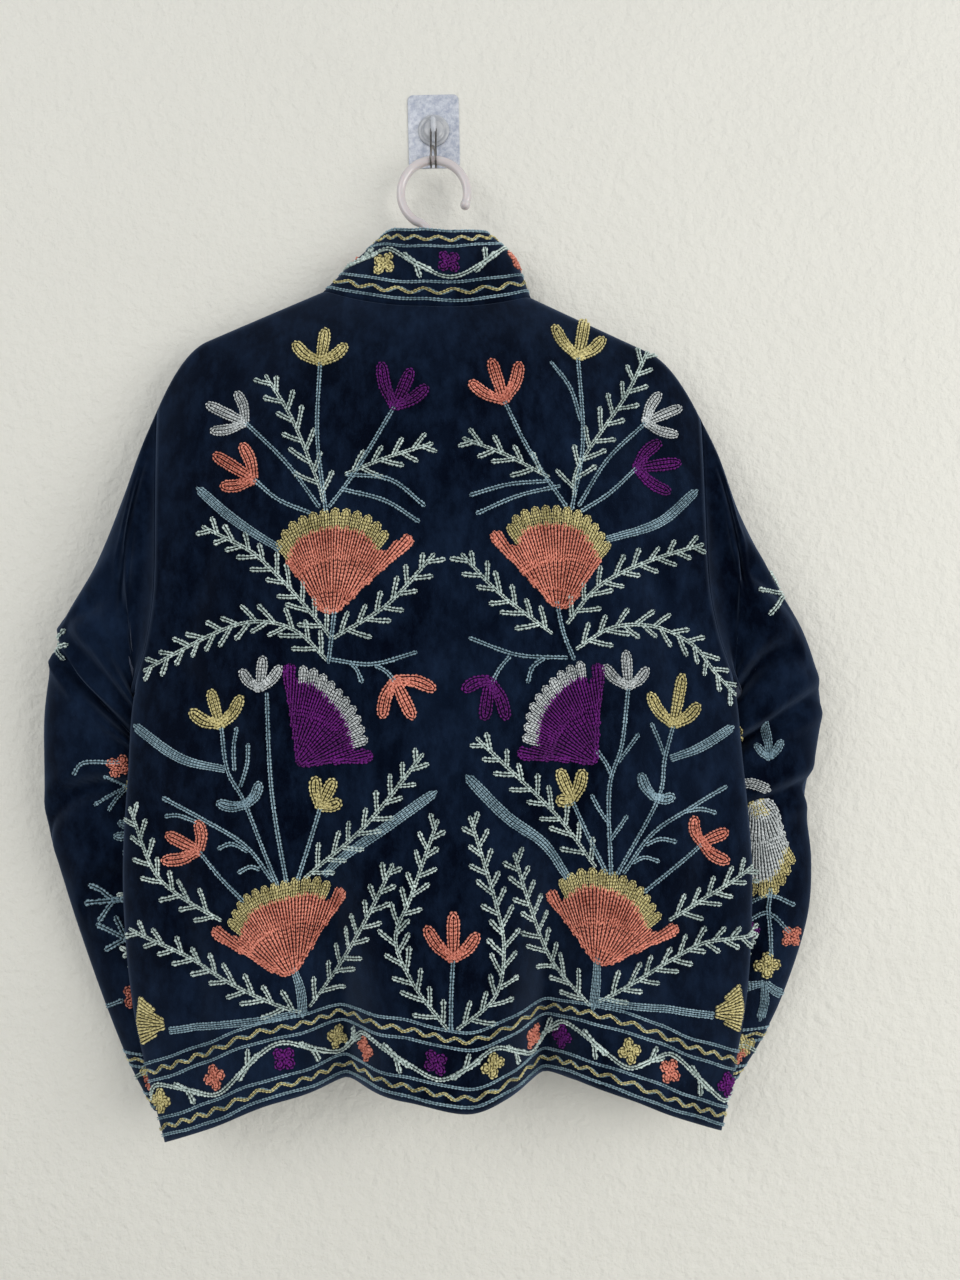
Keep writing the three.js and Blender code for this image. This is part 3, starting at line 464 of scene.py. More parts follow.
def ridge_down(x):
    """How far down the shoulders' ridge is: the hanger's slope, and a rounder fall past its arms."""
    reach = np.abs(x)
    past = np.maximum(0, reach - HANGER_REACH)
    return RIDGE_DOWN + SHOULDER_SLOPE * reach + 0.5 * SHOULDER_FALL * past**2


def beside(start, end, x, y, fade):
    """How far places lie across the line of a crease, and how full it is there: 1 halfway, 0 at its ends."""
    long_x, long_y = end[0] - start[0], end[1] - start[1]
    length = math.hypot(long_x, long_y)
    t = ((x - start[0]) * long_x + (y - start[1]) * long_y) / length**2
    across = ((x - start[0]) * long_y - (y - start[1]) * long_x) / length
    return across, np.clip(4 * t * (1 - t), 0, 1) ** fade


def creased(creases, x, down):
    """How deep the soft creases of the body are at places of it."""
    depth = 0.0
    for start, end, width, deep in creases:
        across, full = beside(start, end, x, down, 0.8)
        depth = depth + deep * full * np.exp(-((across / width) ** 2))
    return CRUMPLE * depth


def body_depth(face, x, down):
    """How far a face of the body stands out from the wall."""
    below = np.maximum(0, down - ridge_down(x))
    filled = 1 - np.exp(-below / OPENING_LENGTH)
    share = np.minimum(1, np.abs(x) / along(BODY, "down", "half", down))
    nose = np.sqrt(SHOULDER_ROUND**2 - np.maximum(0, SHOULDER_ROUND - below) ** 2)
    if face == "back":
        side, centre = along(BODY, "down", "side", down), along(BODY, "down", "centre", down)
        bulge = side + (centre - side) * (1 - share**2) ** 1.2 - creased(BACK_CREASES, x, down)
        grown = smooth(FOLD_START_DOWN, FOLD_FULL_DOWN, down)
        for fold in BACK_FOLDS:
            middle = fold["x"] + fold["lean"] * (1 - grown)
            away = np.hypot((x - middle) / fold["width"], FOLD_SOFT)
            bulge = bulge - fold["deep"] * grown * np.exp(-(away**FOLD_SHARP))
        opened = HANG_DEPTH + nose + bulge * filled
    else:
        start, end = along(FRONT_STEP, "down", "from", down), along(FRONT_STEP, "down", "to", down)
        stepped = smooth(0, 1, (np.abs(x) - start) / (end - start))
        stepped = stepped * smooth(FRONT_STEP_START_DOWN, UNDERARM_DOWN, down)
        near = FRONT_NEAR_WALL + (FRONT_PAST_SLEEVE - FRONT_NEAR_WALL) * stepped
        opened = HANG_DEPTH - nose - (near - creased(FRONT_CREASES, x, down)) * filled
    closing = smooth(CLOSING_DOWN, UNDERARM_DOWN, down)
    edge = along(BODY, "down", "edge", down)
    return edge + (opened - edge) * np.cbrt(1 - closing * share**3)


def top_down(face, x):
    """How far down the top edge of a face is: the neckline, and the shoulder seam past it."""
    low = NECK_BACK_DOWN if face == "back" else NECK_FRONT_DOWN
    share = np.abs(x) / NECK_HALF
    rise = np.minimum(1, share) ** (2 if face == "back" else 2.2)
    return np.where(share >= 1, ridge_down(x), low + (ridge_down(NECK_HALF) - low) * rise)


def hem_down(face, share):
    """How far down the hem is. The fronts' hems are a mirrored pair."""
    if face == "back":
        return along(HEM_BACK, "share", "down", share)
    return along(HEM_FRONT, "share", "down", abs(share))


def body_point(face, share, v):
    """A point of a face: share from -1 to 1 between the side edges, v from the top edge to the hem.

    Low down, where the folds are deep, the share is measured along the cloth and not straight across.
    """
    share, v = np.broadcast_arrays(np.asarray(share, float), np.asarray(v, float))
    top = top_down(face, share * SEAM_HALF)
    down = top + (hem_down(face, share) - top) * v
    half = along(BODY, "down", "half", down)
    side = np.where(share < 0, -1.0, 1.0)
    marks = 1 - np.linspace(1, 0, EVEN_MARKS) ** 2
    marks = marks.reshape(-1, *[1] * share.ndim)
    xs = half * marks
    depths = body_depth(face, xs * side, np.broadcast_to(down, xs.shape))
    steps = np.hypot(np.diff(xs, axis=0), np.diff(depths, axis=0))
    lengths = np.concatenate([np.zeros_like(steps[:1]), np.cumsum(steps, axis=0)])
    wanted = np.abs(share) * lengths[-1]
    i = np.clip((lengths < wanted).sum(0) - 1, 0, len(marks) - 2)[None]
    low, high = np.take_along_axis(lengths, i, 0)[0], np.take_along_axis(lengths, i + 1, 0)[0]
    t = np.clip((wanted - low) / (high - low), 0, 1)
    even = np.take_along_axis(xs, i, 0)[0] * (1 - t) + np.take_along_axis(xs, i + 1, 0)[0] * t
    blend = smooth(EVEN_START_DOWN, EVEN_FULL_DOWN, down)
    x = side * (np.abs(share) * half * (1 - blend) + even * blend)
    return in_room(x, body_depth(face, x, down), down)


def grid_normals(grid, wrapped):
    """Normals of a grid of points, from its own neighbours."""
    if wrapped:
        across = np.roll(grid, -1, 1) - np.roll(grid, 1, 1)
    else:
        across = np.gradient(grid, axis=1)
    normals = np.cross(np.gradient(grid, axis=0), across)
    return normals / np.maximum(1e-9, np.linalg.norm(normals, axis=2))[..., None]


def cloth_piece(name, outer, outwards, materials, wrapped=False):
    """A closed sheet of velvet on cotton: the outer grid, and the same grid a cloth's thickness inside it."""
    rows, columns = outer.shape[:2]
    inner = outer - outwards * CLOTH * grid_normals(outer, wrapped)
    index = np.arange(rows * columns).reshape(rows, columns)
    if wrapped:
        index = np.concatenate([index, index[:, :1]], 1)
    a, b, c, d = index[:-1, :-1], index[1:, :-1], index[1:, 1:], index[:-1, 1:]
    face_out = np.stack([a, b, c, d], -1).reshape(-1, 4)
    face_in = face_out[:, ::-1] + rows * columns
    border = [index[0], index[-1][::-1]]
    if not wrapped:
        border += [index[::-1, 0], index[:, -1]]
    rims = [np.stack([line[1:], line[:-1], line[:-1] + rows * columns, line[1:] + rows * columns], -1)
            for line in (line[::-1] for line in border)]
    faces = np.concatenate([face_out, *rims, face_in])
    if outwards < 0:
        faces = faces[:, ::-1]
    kinds = np.zeros(len(faces), int)
    kinds[-len(face_in):] = 1
    points = np.concatenate([outer.reshape(-1, 3), inner.reshape(-1, 3)])
    return add_piece(name, points, faces, materials, kinds)


def mask_group(name, outputs):
    """A shader node group that gives masks, and the place on the object that they start from."""
    group = bpy.data.node_groups.new(name, "ShaderNodeTree")
    for output in outputs:
        group.interface.new_socket(output, in_out="OUTPUT", socket_type="NodeSocketFloat")
    return group, node(group, "ShaderNodeTexCoord").outputs["Object"]


# Velvet's pile leans this way and that, so patches of it look lighter or darker.
nap, place = mask_group("velvet_nap", ("Lit", "Pile", "Puckers"))
stretched = node(nap, "ShaderNodeMapping", Vector=place, Scale=(1.0, 1.0, 0.55)).outputs[0]
waved = node(nap, "ShaderNodeMapping", Vector=place, Rotation=(0, 0.35, 0), Scale=(1.0, 1.0, 0.45)).outputs[0]
broad = noise(nap, stretched, 7.0, Detail=5.0, Roughness=0.62, Distortion=0.6)
patches = ranged(nap, broad, given=(0.44, 0.70))
flecks = ranged(nap, noise(nap, stretched, 70.0, Detail=4.0, Roughness=0.7), given=(0.42, 0.74))
pile = ranged(nap, noise(nap, place, 900.0, Detail=2.0, Roughness=0.6), given=(0.25, 0.75))
lit = weighted(nap, pile, 0.15, weighted(nap, flecks, 0.55, weighted(nap, patches, 0.55)))
puckers = noise(nap, waved, 26.0, Detail=3.0, Roughness=0.5, Distortion=1.0)
fill_in(nap, nap.nodes.new("NodeGroupOutput"), Lit=lit, Pile=pile, Puckers=puckers)

VELVET_DARK, VELVET_LIT = (0.0001, 0.0008, 0.0040), (0.0070, 0.0155, 0.0370)
# Painted sheen: the pale blue that the velvet's base colour turns to where the cloth is seen edge-on.
VELVET_PAINTED_SHEEN = (0.060, 0.086, 0.140)
navy_velvet, tree, shader = new_material("navy_velvet")
group = node(tree, "ShaderNodeGroup", {"node_tree": nap}).outputs
# The painted sheen's mask is the Layer Weight's facing, so the base colour lightens towards grazing angles.
facing = node(tree, "ShaderNodeLayerWeight", Blend=0.42).outputs["Facing"]
edge = node(tree, "ShaderNodeMath", {"operation": "POWER"}, _0=facing, _1=2.0).outputs[0]
tint = between(tree, edge, between(tree, group["Lit"], VELVET_DARK, VELVET_LIT), VELVET_PAINTED_SHEEN)
soft = bump(tree, group["Puckers"], 0.6, 0.006)
fill_in(tree, shader, Base_Color=tint, Normal=bump(tree, group["Pile"], 0.35, 0.0006, Normal=soft),
        Roughness=0.82, Specular_IOR_Level=0.02, Sheen_Weight=0.03, Sheen_Roughness=0.30,
        Sheen_Tint=(0.42, 0.52, 0.72, 1))

cotton_backing, tree, shader = new_material("cotton_backing")
place = node(tree, "ShaderNodeTexCoord").outputs["Object"]
warp, weft = (node(tree, "ShaderNodeTexWave", {"bands_direction": way}, Vector=place, Scale=420.0,
                   Distortion=1.5).outputs["Fac"] for way in "XZ")
weave = node(tree, "ShaderNodeMath", {"operation": "MAXIMUM"}, _0=warp, _1=weft).outputs[0]
tint = between(tree, weave, (0.012, 0.018, 0.034), (0.034, 0.046, 0.078))
fill_in(tree, shader, Base_Color=tint, Normal=bump(tree, weave, 0.3, 0.0004), Roughness=0.9)
CLOTH_LAYERS = [navy_velvet, cotton_backing]

FRONT_CREASES = [
    ((-150, 230), (-110, 420), 14, 2.0),
    ((150, 240), (112, 430), 14, 2.2),
    ((-70, 330), (-60, 560), 18, 1.6),
    ((66, 320), (58, 570), 18, 1.8),
    ((-120, 560), (-96, 800), 15, 2.2),
    ((124, 560), (100, 790), 15, 2.0),
    ((-50, 620), (-44, 810), 14, 2.2),
    ((48, 640), (42, 815), 14, 1.8),
]
# The rows of points lie close together where the cloth bends round the top edge, and evenly below.
TOP_ROWS, EVEN_ROWS_FROM = [0, 0.0007, 0.0016, 0.003, 0.005, 0.0075, 0.0105, 0.0145, 0.0195], 0.026
BACK_COLUMNS, BACK_ROWS = 131, 136
rows = [*TOP_ROWS, *np.linspace(EVEN_ROWS_FROM, 1, BACK_ROWS)]
share, v = np.meshgrid(np.linspace(-1, 1, BACK_COLUMNS), rows)
back = cloth_piece("velvet_back", body_point("back", share, v), 1, CLOTH_LAYERS)
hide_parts(*(f"back_{band}_{place}" for band in ("shoulder", "chest", "waist", "skirt")
                    for place in ("left", "middle", "right")))


# ---------------------------------------------------------------------------------------------------
# The fronts: two pieces of the same velvet that meet edge to edge, with nothing to fasten them. They hang
# close to the wall at the middle, and stand out past the sleeves at the sides.
SIDES = (("left", -1), ("right", 1))
FRONT_EDGE_HALF = 6
FRONT_COLUMNS, FRONT_ROWS = 61, 118
for side, sign in SIDES:
    shares = sign * np.linspace(FRONT_EDGE_HALF / SEAM_HALF, 1, FRONT_COLUMNS)
    share, v = np.meshgrid(np.sort(shares), [*TOP_ROWS, *np.linspace(EVEN_ROWS_FROM, 1, FRONT_ROWS)])
    front = cloth_piece(f"velvet_front_{side}", body_point("front", share, v), -1, CLOTH_LAYERS)
    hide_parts(f"front_{side}_upper", f"front_{side}_lower")


# ---------------------------------------------------------------------------------------------------
# The sleeves: one piece each, sewn into the dropped shoulder. They swing out to the elbow, crumple there,
# and tuck in behind the side edges of the body.
# The sleeve's section at places along it: where its outer and inner folds are, how far they stand out from
# the wall, how far it puffs out towards the room beside each, and how far it reaches back to the wall.
SLEEVE_RIGHT = {
    "at": [0, 0.06, 0.14, 0.23, 0.31, 0.4, 0.47, 0.54, 0.63, 0.72, 0.83, 0.92, 1],
    "out_x": [235, 249, 265, 293, 321, 335, 331, 321, 325, 321, 301, 279, 257],
    "out_down": [258, 290, 342, 402, 455, 512, 556, 600, 655, 705, 768, 815, 850],
    "in_x": [257, 264, 257, 245, 228, 202, 186, 178, 172, 164, 152, 143, 133],
    "in_down": [500, 508, 525, 546, 568, 600, 634, 668, 704, 740, 780, 808, 832],
    "out_depth": [26, 26, 27, 28, 28, 28, 27, 26, 25, 24, 22, 20, 18],
    "in_depth": [42, 36, 28, 23, 21, 19, 18, 17, 17, 17, 17, 16, 15],
    "out_puff": [26, 28, 32, 32, 29, 24, 21, 19, 18, 17, 16, 14, 13],
    "in_puff": [26, 17, 10, 8, 9, 10, 10, 11, 11, 11, 11, 11, 11],
    "back": [15, 16, 17, 16, 15, 14, 13, 12, 12, 12, 12, 12, 11],
}
# The left sleeve hangs a little differently.
SLEEVE_LEFT = {
    **SLEEVE_RIGHT,
    "out_x": [235, 248, 264, 290, 323, 338, 341, 340, 326, 311, 292, 274, 256],
    "out_down": [258, 288, 332, 390, 444, 505, 556, 606, 664, 716, 776, 826, 865],
    "in_x": [257, 264, 257, 245, 228, 204, 189, 182, 174, 164, 153, 144, 134],
    "in_down": [500, 508, 525, 546, 568, 600, 634, 668, 706, 746, 792, 828, 855],
    "out_puff": [26, 28, 32, 32, 29, 24, 22, 21, 19, 17, 16, 14, 13],
}
SLEEVE_SQUARENESS, SLEEVE_BLEND, SLEEVE_CRUMPLE, SLEEVE_CLEAR = 2.5, 0.13, 2.5, 0.15
CREASE_NARROW, CREASE_SOFT, CREASE_SHARP = 0.8, 0.15, 1.6
SWELL_AWAY, SWELL_SHARE = 2.1, 0.35
SLEEVE_COLUMNS, SLEEVE_ROWS = 108, 127
ARMHOLE_ROWS, ARMHOLE_STEPS = [0, 0.0024, 0.0078, 0.019, 0.04, 0.07], 7
# Creases: their two ends as (share of the length, turn round the sleeve), how wide in those, and how deep.
# Turn 0 is the outer fold and 0.5 the inner one, by way of the side that faces the room.
SLEEVE_CREASES = {
    "left": [
        ((0.10, 0.30), (0.30, 0.08), 0.022, 2.6),
        ((0.24, 0.44), (0.29, 0.06), 0.014, -3.4),
        ((0.28, 0.44), (0.36, 0.16), 0.016, 4.0),
        ((0.35, 0.46), (0.325, -0.03), 0.011, 5.6),
        ((0.37, 0.44), (0.50, 0.12), 0.012, 3.8),
        ((0.42, 0.30), (0.56, 0.02), 0.016, 2.6),
        ((0.52, 0.34), (0.66, 0.10), 0.018, 2.2),
        ((0.04, 0.16), (0.20, 0.24), 0.020, 2.0),
        ((0.62, 0.22), (0.92, 0.30), 0.022, 1.8),
        ((0.10, 0.60), (0.34, 0.80), 0.025, 2.6),
        ((0.30, 0.58), (0.42, 0.86), 0.020, 3.0),
        ((0.50, 0.62), (0.80, 0.76), 0.022, 2.0),
    ],
    "right": [
        ((0.08, 0.28), (0.26, 0.06), 0.022, 2.4),
        ((0.20, 0.42), (0.32, 0.10), 0.017, 3.8),
        ((0.26, 0.44), (0.42, 0.20), 0.016, 4.0),
        ((0.30, 0.45), (0.52, 0.26), 0.017, 3.4),
        ((0.37, 0.36), (0.40, 0.00), 0.015, 3.2),
        ((0.50, 0.30), (0.53, -0.02), 0.016, 3.0),
        ((0.56, 0.36), (0.72, 0.14), 0.018, 2.2),
        ((0.05, 0.14), (0.18, 0.22), 0.020, 2.0),
        ((0.66, 0.18), (0.94, 0.26), 0.022, 1.8),
        ((0.12, 0.62), (0.32, 0.82), 0.025, 2.6),
        ((0.32, 0.60), (0.44, 0.88), 0.020, 3.0),
        ((0.54, 0.60), (0.84, 0.78), 0.022, 2.0),
    ],
}


def sleeve_section(table, sign, at, turn):
    """A point of the sleeve's oval section. turn is 0 at the outer fold, and a quarter faces the room."""
    angle = turn * 2 * math.pi
    power = 2 / SLEEVE_SQUARENESS
    outwards = (np.sign(np.cos(angle)) * np.abs(np.cos(angle)) ** power + 1) / 2
    stand = np.abs(np.sin(angle)) ** power

    def mixed(low, high, share):
        low, high = along(table, "at", low, at), along(table, "at", high, at)
        return low + (high - low) * share

    puff = mixed("in_puff", "out_puff", smooth(0, 1, outwards))
    reach = np.where(np.sin(angle) > 0, puff, -along(table, "at", "back", at))
    depth = mixed("in_depth", "out_depth", outwards) + reach * stand
    x = mixed("in_x", "out_x", outwards)
    return in_room(sign * x, depth, mixed("in_down", "out_down", outwards))


def armhole(sign, turn):
    """A point of the armhole's edge, at the same turn as on the sleeve."""
    rows = len(ARMHOLE_ROWS) - 1 + ARMHOLE_STEPS
    underarm = (UNDERARM_DOWN - ridge_down(SEAM_HALF)) / (HEM_BACK["down"][-1] - ridge_down(SEAM_HALF))
    lower = np.linspace(ARMHOLE_ROWS[-1], underarm, ARMHOLE_STEPS + 1)[1:]
    v = np.interp(rows - np.abs(turn * 2 * rows - rows), np.arange(rows + 1), [*ARMHOLE_ROWS, *lower])
    side = np.full_like(v, sign)
    return np.where(turn[..., None] <= 0.5, body_point("back", side, v), body_point("front", side, v))


def sleeve_point(side, at, turn):
    """A point of a sleeve, which starts on the armhole's edge and takes its own section further on."""
    sign, table = (1, SLEEVE_RIGHT) if side == "right" else (-1, SLEEVE_LEFT)
    turn = turn % 1.0
    offset = armhole(sign, turn) - sleeve_section(table, sign, np.zeros_like(turn), turn)
    blend = 1 - smooth(0, SLEEVE_BLEND, at)
    return sleeve_section(table, sign, at, turn) + offset * blend[..., None] + (SLEEVE_CLEAR * sign, 0, 0)


def sleeve_creases(side, at, turn):
    """How deep the creases of a sleeve are: each a sharp hollow between two lower swells of cloth."""
    total = 0.0
    for start, end, width, deep in SLEEVE_CREASES[side]:
        across, full = beside(start, end, at, turn, 0.7)
        narrow = CREASE_NARROW * width
        hollow = np.exp(-(np.hypot(across / narrow, CREASE_SOFT) ** CREASE_SHARP))
        swell = np.exp(-(((np.abs(across) - SWELL_AWAY * narrow) / narrow) ** 2))
        total = total + SLEEVE_CRUMPLE * deep * full * (hollow - SWELL_SHARE * swell)
    return total


sleeve_grids = {}
for side, sign in SIDES:
    around, down_it = np.linspace(0, 1, SLEEVE_COLUMNS, endpoint=False), np.linspace(0, 1, SLEEVE_ROWS)
    turn, at = np.meshgrid(around, down_it)
    grid = sleeve_point(side, at, turn)
    normals = -sign * grid_normals(grid, wrapped=True)
    grid = grid - normals * sleeve_creases(side, at, turn)[..., None]
    sleeve_grids[side] = grid
    sleeve = cloth_piece(f"velvet_sleeve_{side}", grid, -sign, CLOTH_LAYERS, wrapped=True)
    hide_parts(f"sleeve_{side}")


# ---------------------------------------------------------------------------------------------------
# The collar: a stand-up band of velvet sewn round the whole neckline, open at the front. It leans in over
# the hanger at the sides of the neck.
COLLAR_HIGH, COLLAR_CLEAR = 68, 0.15
COLLAR_LEAN_LEFT, COLLAR_LEAN_RIGHT = 50, 33
COLLAR_BULGE_LEFT, COLLAR_BULGE_RIGHT = 1, 6
COLLAR_FRONT_COLUMNS, COLLAR_BACK_COLUMNS, COLLAR_ROWS = 24, 61, 25
neck_share, edge_share = NECK_HALF / SEAM_HALF, FRONT_EDGE_HALF / SEAM_HALF
front_turn = np.sin(np.linspace(0, math.pi / 2, COLLAR_FRONT_COLUMNS))
front_shares = edge_share + (neck_share - edge_share) * front_turn
back_shares = neck_share * np.sin(np.linspace(-math.pi / 2, math.pi / 2, COLLAR_BACK_COLUMNS))
collar_shares = np.concatenate([-front_shares, back_shares[1:-1], front_shares[::-1]])
in_front = np.zeros(len(collar_shares), bool)
in_front[:COLLAR_FRONT_COLUMNS - 1] = in_front[1 - COLLAR_FRONT_COLUMNS:] = True
front_seam, back_seam = body_point("front", collar_shares, 0), body_point("back", collar_shares, 0)
collar_base = np.where(in_front[:, None], front_seam, back_seam)


def collar_row(t):
    """A row of the collar, from its seam at 0 to its top edge at 1."""
    to_side = np.abs(collar_shares) / neck_share
    left = collar_shares < 0
    sign = np.where(left, -1, 1)
    lean = np.radians(np.where(left, COLLAR_LEAN_LEFT, COLLAR_LEAN_RIGHT)) * to_side**1.5
    bulge = np.where(left, COLLAR_BULGE_LEFT, COLLAR_BULGE_RIGHT) * to_side**2 * math.sin(math.pi * t**1.2)
    to_wall = np.where(in_front, 3 - 3 * to_side, 8 * (1 - to_side**2))
    bow = np.where(in_front, 0, 3 * math.sin(math.pi * t) * (1 - 0.5 * to_side))
    high = COLLAR_HIGH * t + COLLAR_CLEAR
    return collar_base + np.stack([sign * (bulge - np.sin(lean) * high), to_wall * t - bow,
                                   np.cos(lean) * high + bulge * 0.5], -1)


collar_grid = np.stack([collar_row(t) for t in np.linspace(1, 0, COLLAR_ROWS)])
collar = cloth_piece("velvet_collar", collar_grid, 1, CLOTH_LAYERS)
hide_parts("collar")


# ---------------------------------------------------------------------------------------------------
# The embroidery thread: soft stranded cotton in six colours, worked through the velvet as a hooked chain
# stitch. Each link is a loop of two strands, and the next one comes up inside its end. A row of it is ROPE
# wide with links of STITCH, and LOOSE is how far, as a share, the hand strays from that.
STITCH, ROPE = 3.1, 4.6
LOOSE = 0.12
SHORTEST_LINK, LAST_LINK_LONG, LAST_LINKS_WIDE = 0.93, 0.42, [1.12, 0.62]
STRAND_SIDES = 3
# Each thread's colour in the gaps between its fibres, darkened there as painted shade, and on top of them.
THREADS = {
    "coral": ((0.34, 0.085, 0.055), (0.98, 0.410, 0.300)),
    "gold": ((0.24, 0.205, 0.075), (0.93, 0.84, 0.43)),
    "pale": ((0.20, 0.27, 0.255), (0.80, 0.93, 0.88)),
    "grey": ((0.22, 0.25, 0.255), (0.88, 0.92, 0.92)),
    "teal": ((0.080, 0.145, 0.185), (0.43, 0.60, 0.68)),
    "purple": ((0.036, 0.001, 0.054), (0.190, 0.009, 0.245)),
}
stitch_hand = np.random.default_rng(7)

thread_tone, place = mask_group("thread_tone", ("Tone", "Fibre"))
strand = noise(thread_tone, place, 520.0, Detail=3.0, Roughness=0.7)
dyed = weighted(thread_tone, noise(thread_tone, place, 45.0, Detail=2.0), 0.3)
# The mix follows the fibre bump's noise: painted shade in its hollows, lighter on its tops, with a little
# uneven dye.
tone = ranged(thread_tone, weighted(thread_tone, strand, 0.7, dyed), given=(0.38, 0.66))
fill_in(thread_tone, thread_tone.nodes.new("NodeGroupOutput"), Tone=tone, Fibre=strand)


def cotton_thread(name, dark, light):
    """Soft dull cotton, with painted shade that darkens it in the gaps between its fibres."""
    material, tree, shader = new_material(f"{name}_thread")
    group = node(tree, "ShaderNodeGroup", {"node_tree": thread_tone}).outputs
    fill_in(tree, shader, Base_Color=between(tree, group["Tone"], dark, light), Roughness=0.75,
            Normal=bump(tree, group["Fibre"], 0.5, 0.0006), Specular_IOR_Level=0.3)
    return material


thread_materials = {name: cotton_thread(name, *colours) for name, colours in THREADS.items()}


def link_shape(sides):
    """One link as vertices (along, across, up) and triangles. Along counts stitches, the rest half widths."""
    points, faces = [], []
    spin = math.pi / 2 + np.arange(sides) * 2 * math.pi / sides
    for side in (-1, 1):
        first = len(points)
        points.append((-0.12, side * 0.20, 0.06))
        for forward, out, up, thick in ((0.22, 0.45, 0.28, 0.36), (0.74, 0.50, 0.44, 0.49)):
            points += [(forward, side * out + thick * math.cos(a), up + thick * math.sin(a)) for a in spin]
        points.append((1.22, side * 0.32, 0.16))
        last = first + 2 * sides + 1
        for k in range(sides):
            a, b = first + 1 + k, first + 1 + (k + 1) % sides
            c, d = a + sides, b + sides
            faces += [(first, b, a), (a, b, d), (a, d, c), (c, d, last)]
    return np.array(points), np.array(faces)


LINK_POINTS, LINK_FACES = link_shape(STRAND_SIDES)


def sewn_on(at, step, sign):
    """A surface to sew on, from a function that gives its points: the points over a plan, and the normals."""
    def surface(plan):
        u, v = plan[:, 0], plan[:, 1]
        normal = sign * np.cross(at(u, v + step) - at(u, v - step), at(u + step, v) - at(u - step, v))
        return at(u, v), normal / np.linalg.norm(normal, axis=1)[:, None]
    return surface


def on_body(face):
    """The outside of a face of the body, over places (x, down) of the jacket."""
    def at(x, down):
        return in_room(x, body_depth(face, x, down), down)
    return sewn_on(at, 1.0, 1 if face == "back" else -1)


def lengths_along(path):
    """How far along a path each of its points is."""
    return np.concatenate([[0], np.cumsum(np.linalg.norm(np.diff(path, axis=0), axis=1))])


def embroider(name, strokes, surface, coarse=1.0):
    """Works strokes of (plan path, thread, width) over a surface in chain stitch, as one object.

    coarse makes the links longer, for sides that are seldom seen. What misses the surface is left out.
    """
    counts = np.cumsum([0] + [len(path) for path, _, _ in strokes])
    places, normals = surface(np.concatenate([path for path, _, _ in strokes]))
    threads = sorted({thread for _, thread, _ in strokes})
    starts, aheads, ups, halves, kinds = [], [], [], [], []
    for (path, thread, width), low, high in zip(strokes, counts, counts[1:]):
        sewn = ~np.isnan(places[low:high, 0])
        if sewn.sum() < 2:
            continue
        place, normal = places[low:high][sewn], normals[low:high][sewn]
        lengths = lengths_along(place)
        links = max(1, round(lengths[-1] / (coarse * STITCH * max(SHORTEST_LINK, width / ROPE))))
        even = np.linspace(0, lengths[-1], links + 1)
        knots = np.stack([np.interp(even, lengths, place[:, axis]) for axis in range(3)], -1)
        step = np.diff(knots, axis=0)
        starts.append(knots)
        aheads.append(np.concatenate([step, LAST_LINK_LONG * step[-1:] / coarse]))
        ups.append(np.stack([np.interp(even, lengths, normal[:, axis]) for axis in range(3)], -1))
        halves.append(width / 2 * np.concatenate([np.ones(links - 1), LAST_LINKS_WIDE]))
        kinds.append(np.full(links + 1, threads.index(thread)))
    start, ahead, up, half = (np.concatenate(parts) for parts in (starts, aheads, ups, halves))
    across = np.cross(up, ahead)
    across /= np.maximum(1e-6, np.linalg.norm(across, axis=1))[:, None]
    up /= np.linalg.norm(up, axis=1)[:, None]
    across = across + ahead / STITCH * stitch_hand.normal(0, LOOSE, len(start))[:, None]
    half = half * (1 + stitch_hand.normal(0, 0.6 * LOOSE, len(start)))
    forward, out, rise = LINK_POINTS.T
    sideways, upwards = (half[:, None] * out)[..., None], (half[:, None] * rise)[..., None]
    points = start[:, None] + ahead[:, None] * forward[:, None]
    points = points + across[:, None] * sideways + up[:, None] * upwards
    faces = LINK_FACES[None] + (np.arange(len(start)) * len(LINK_POINTS))[:, None, None]
    indices = np.repeat(np.concatenate(kinds), len(LINK_FACES))
    used = [thread_materials[thread] for thread in threads]
    return add_piece(name, points.reshape(-1, 3), faces.reshape(-1, 3), used, indices)


# ---------------------------------------------------------------------------------------------------
# The motifs that the whole jacket is worked with: a row of stitches, and leaves, petals, ferns and fans
# made of rows side by side. Each gives its strokes as (path, thread, width).
SPINE_WIDTH, LEAFLET_WIDTH = 3.96, 4.95


def row(points, thread, width=ROPE):
    """One row of stitches on a smooth curve."""
    return [(curve_through(points, 1.5), thread, width)]


def aside(path, offsets):
    """A path moved sideways by an offset at each of its points."""
    ahead = np.gradient(path, axis=0)
    ahead /= np.maximum(1e-6, np.linalg.norm(ahead, axis=1))[:, None]
    return path + np.stack([-ahead[:, 1], ahead[:, 0]], -1) * offsets[:, None]


def leaf(points, thread, width, full=0.5, narrow=0.6):
    """A long leaf of three rows: narrow at its start, widest at `full`, and round at its end."""
    path = curve_through(points, 1.5)
    t = np.linspace(0, 1, len(path))
    spread = narrow + (1 - narrow) * smooth(0, full, t)
    spread = spread * np.sqrt(1 - np.clip((t - 0.86) / 0.14, 0, 1) ** 2 * 0.75)
    rope = width / 3 * 1.12
    strokes = []
    for place in (-1, 0, 1):
        shorter = 2 if place and len(path) > 6 else 0
        moved = aside(path, place * spread * (width - rope) / 2)
        strokes.append((moved[: len(path) - shorter], thread, rope))
    return strokes


def lobe(points, thread, width):
    """A round-ended shape: one row up its middle, and one up a side, round the end and down again."""
    path = curve_through(points, 1.2)
    t = np.linspace(0, 1, len(path))
    rope = 0.40 * width
    half = (width - rope) / 2
    rounded = np.sqrt(np.clip(1 - np.clip((t - 0.74) / 0.26, 0, 1) ** 2, 0, 1))
    spread = half * (0.66 + 0.34 * smooth(0, 0.6, t)) * rounded
    outline = np.concatenate([aside(path, spread), aside(path, -spread)[::-1]])
    return [(path[: max(3, int(len(path) * 0.86))], thread, rope), (outline, thread, rope)]


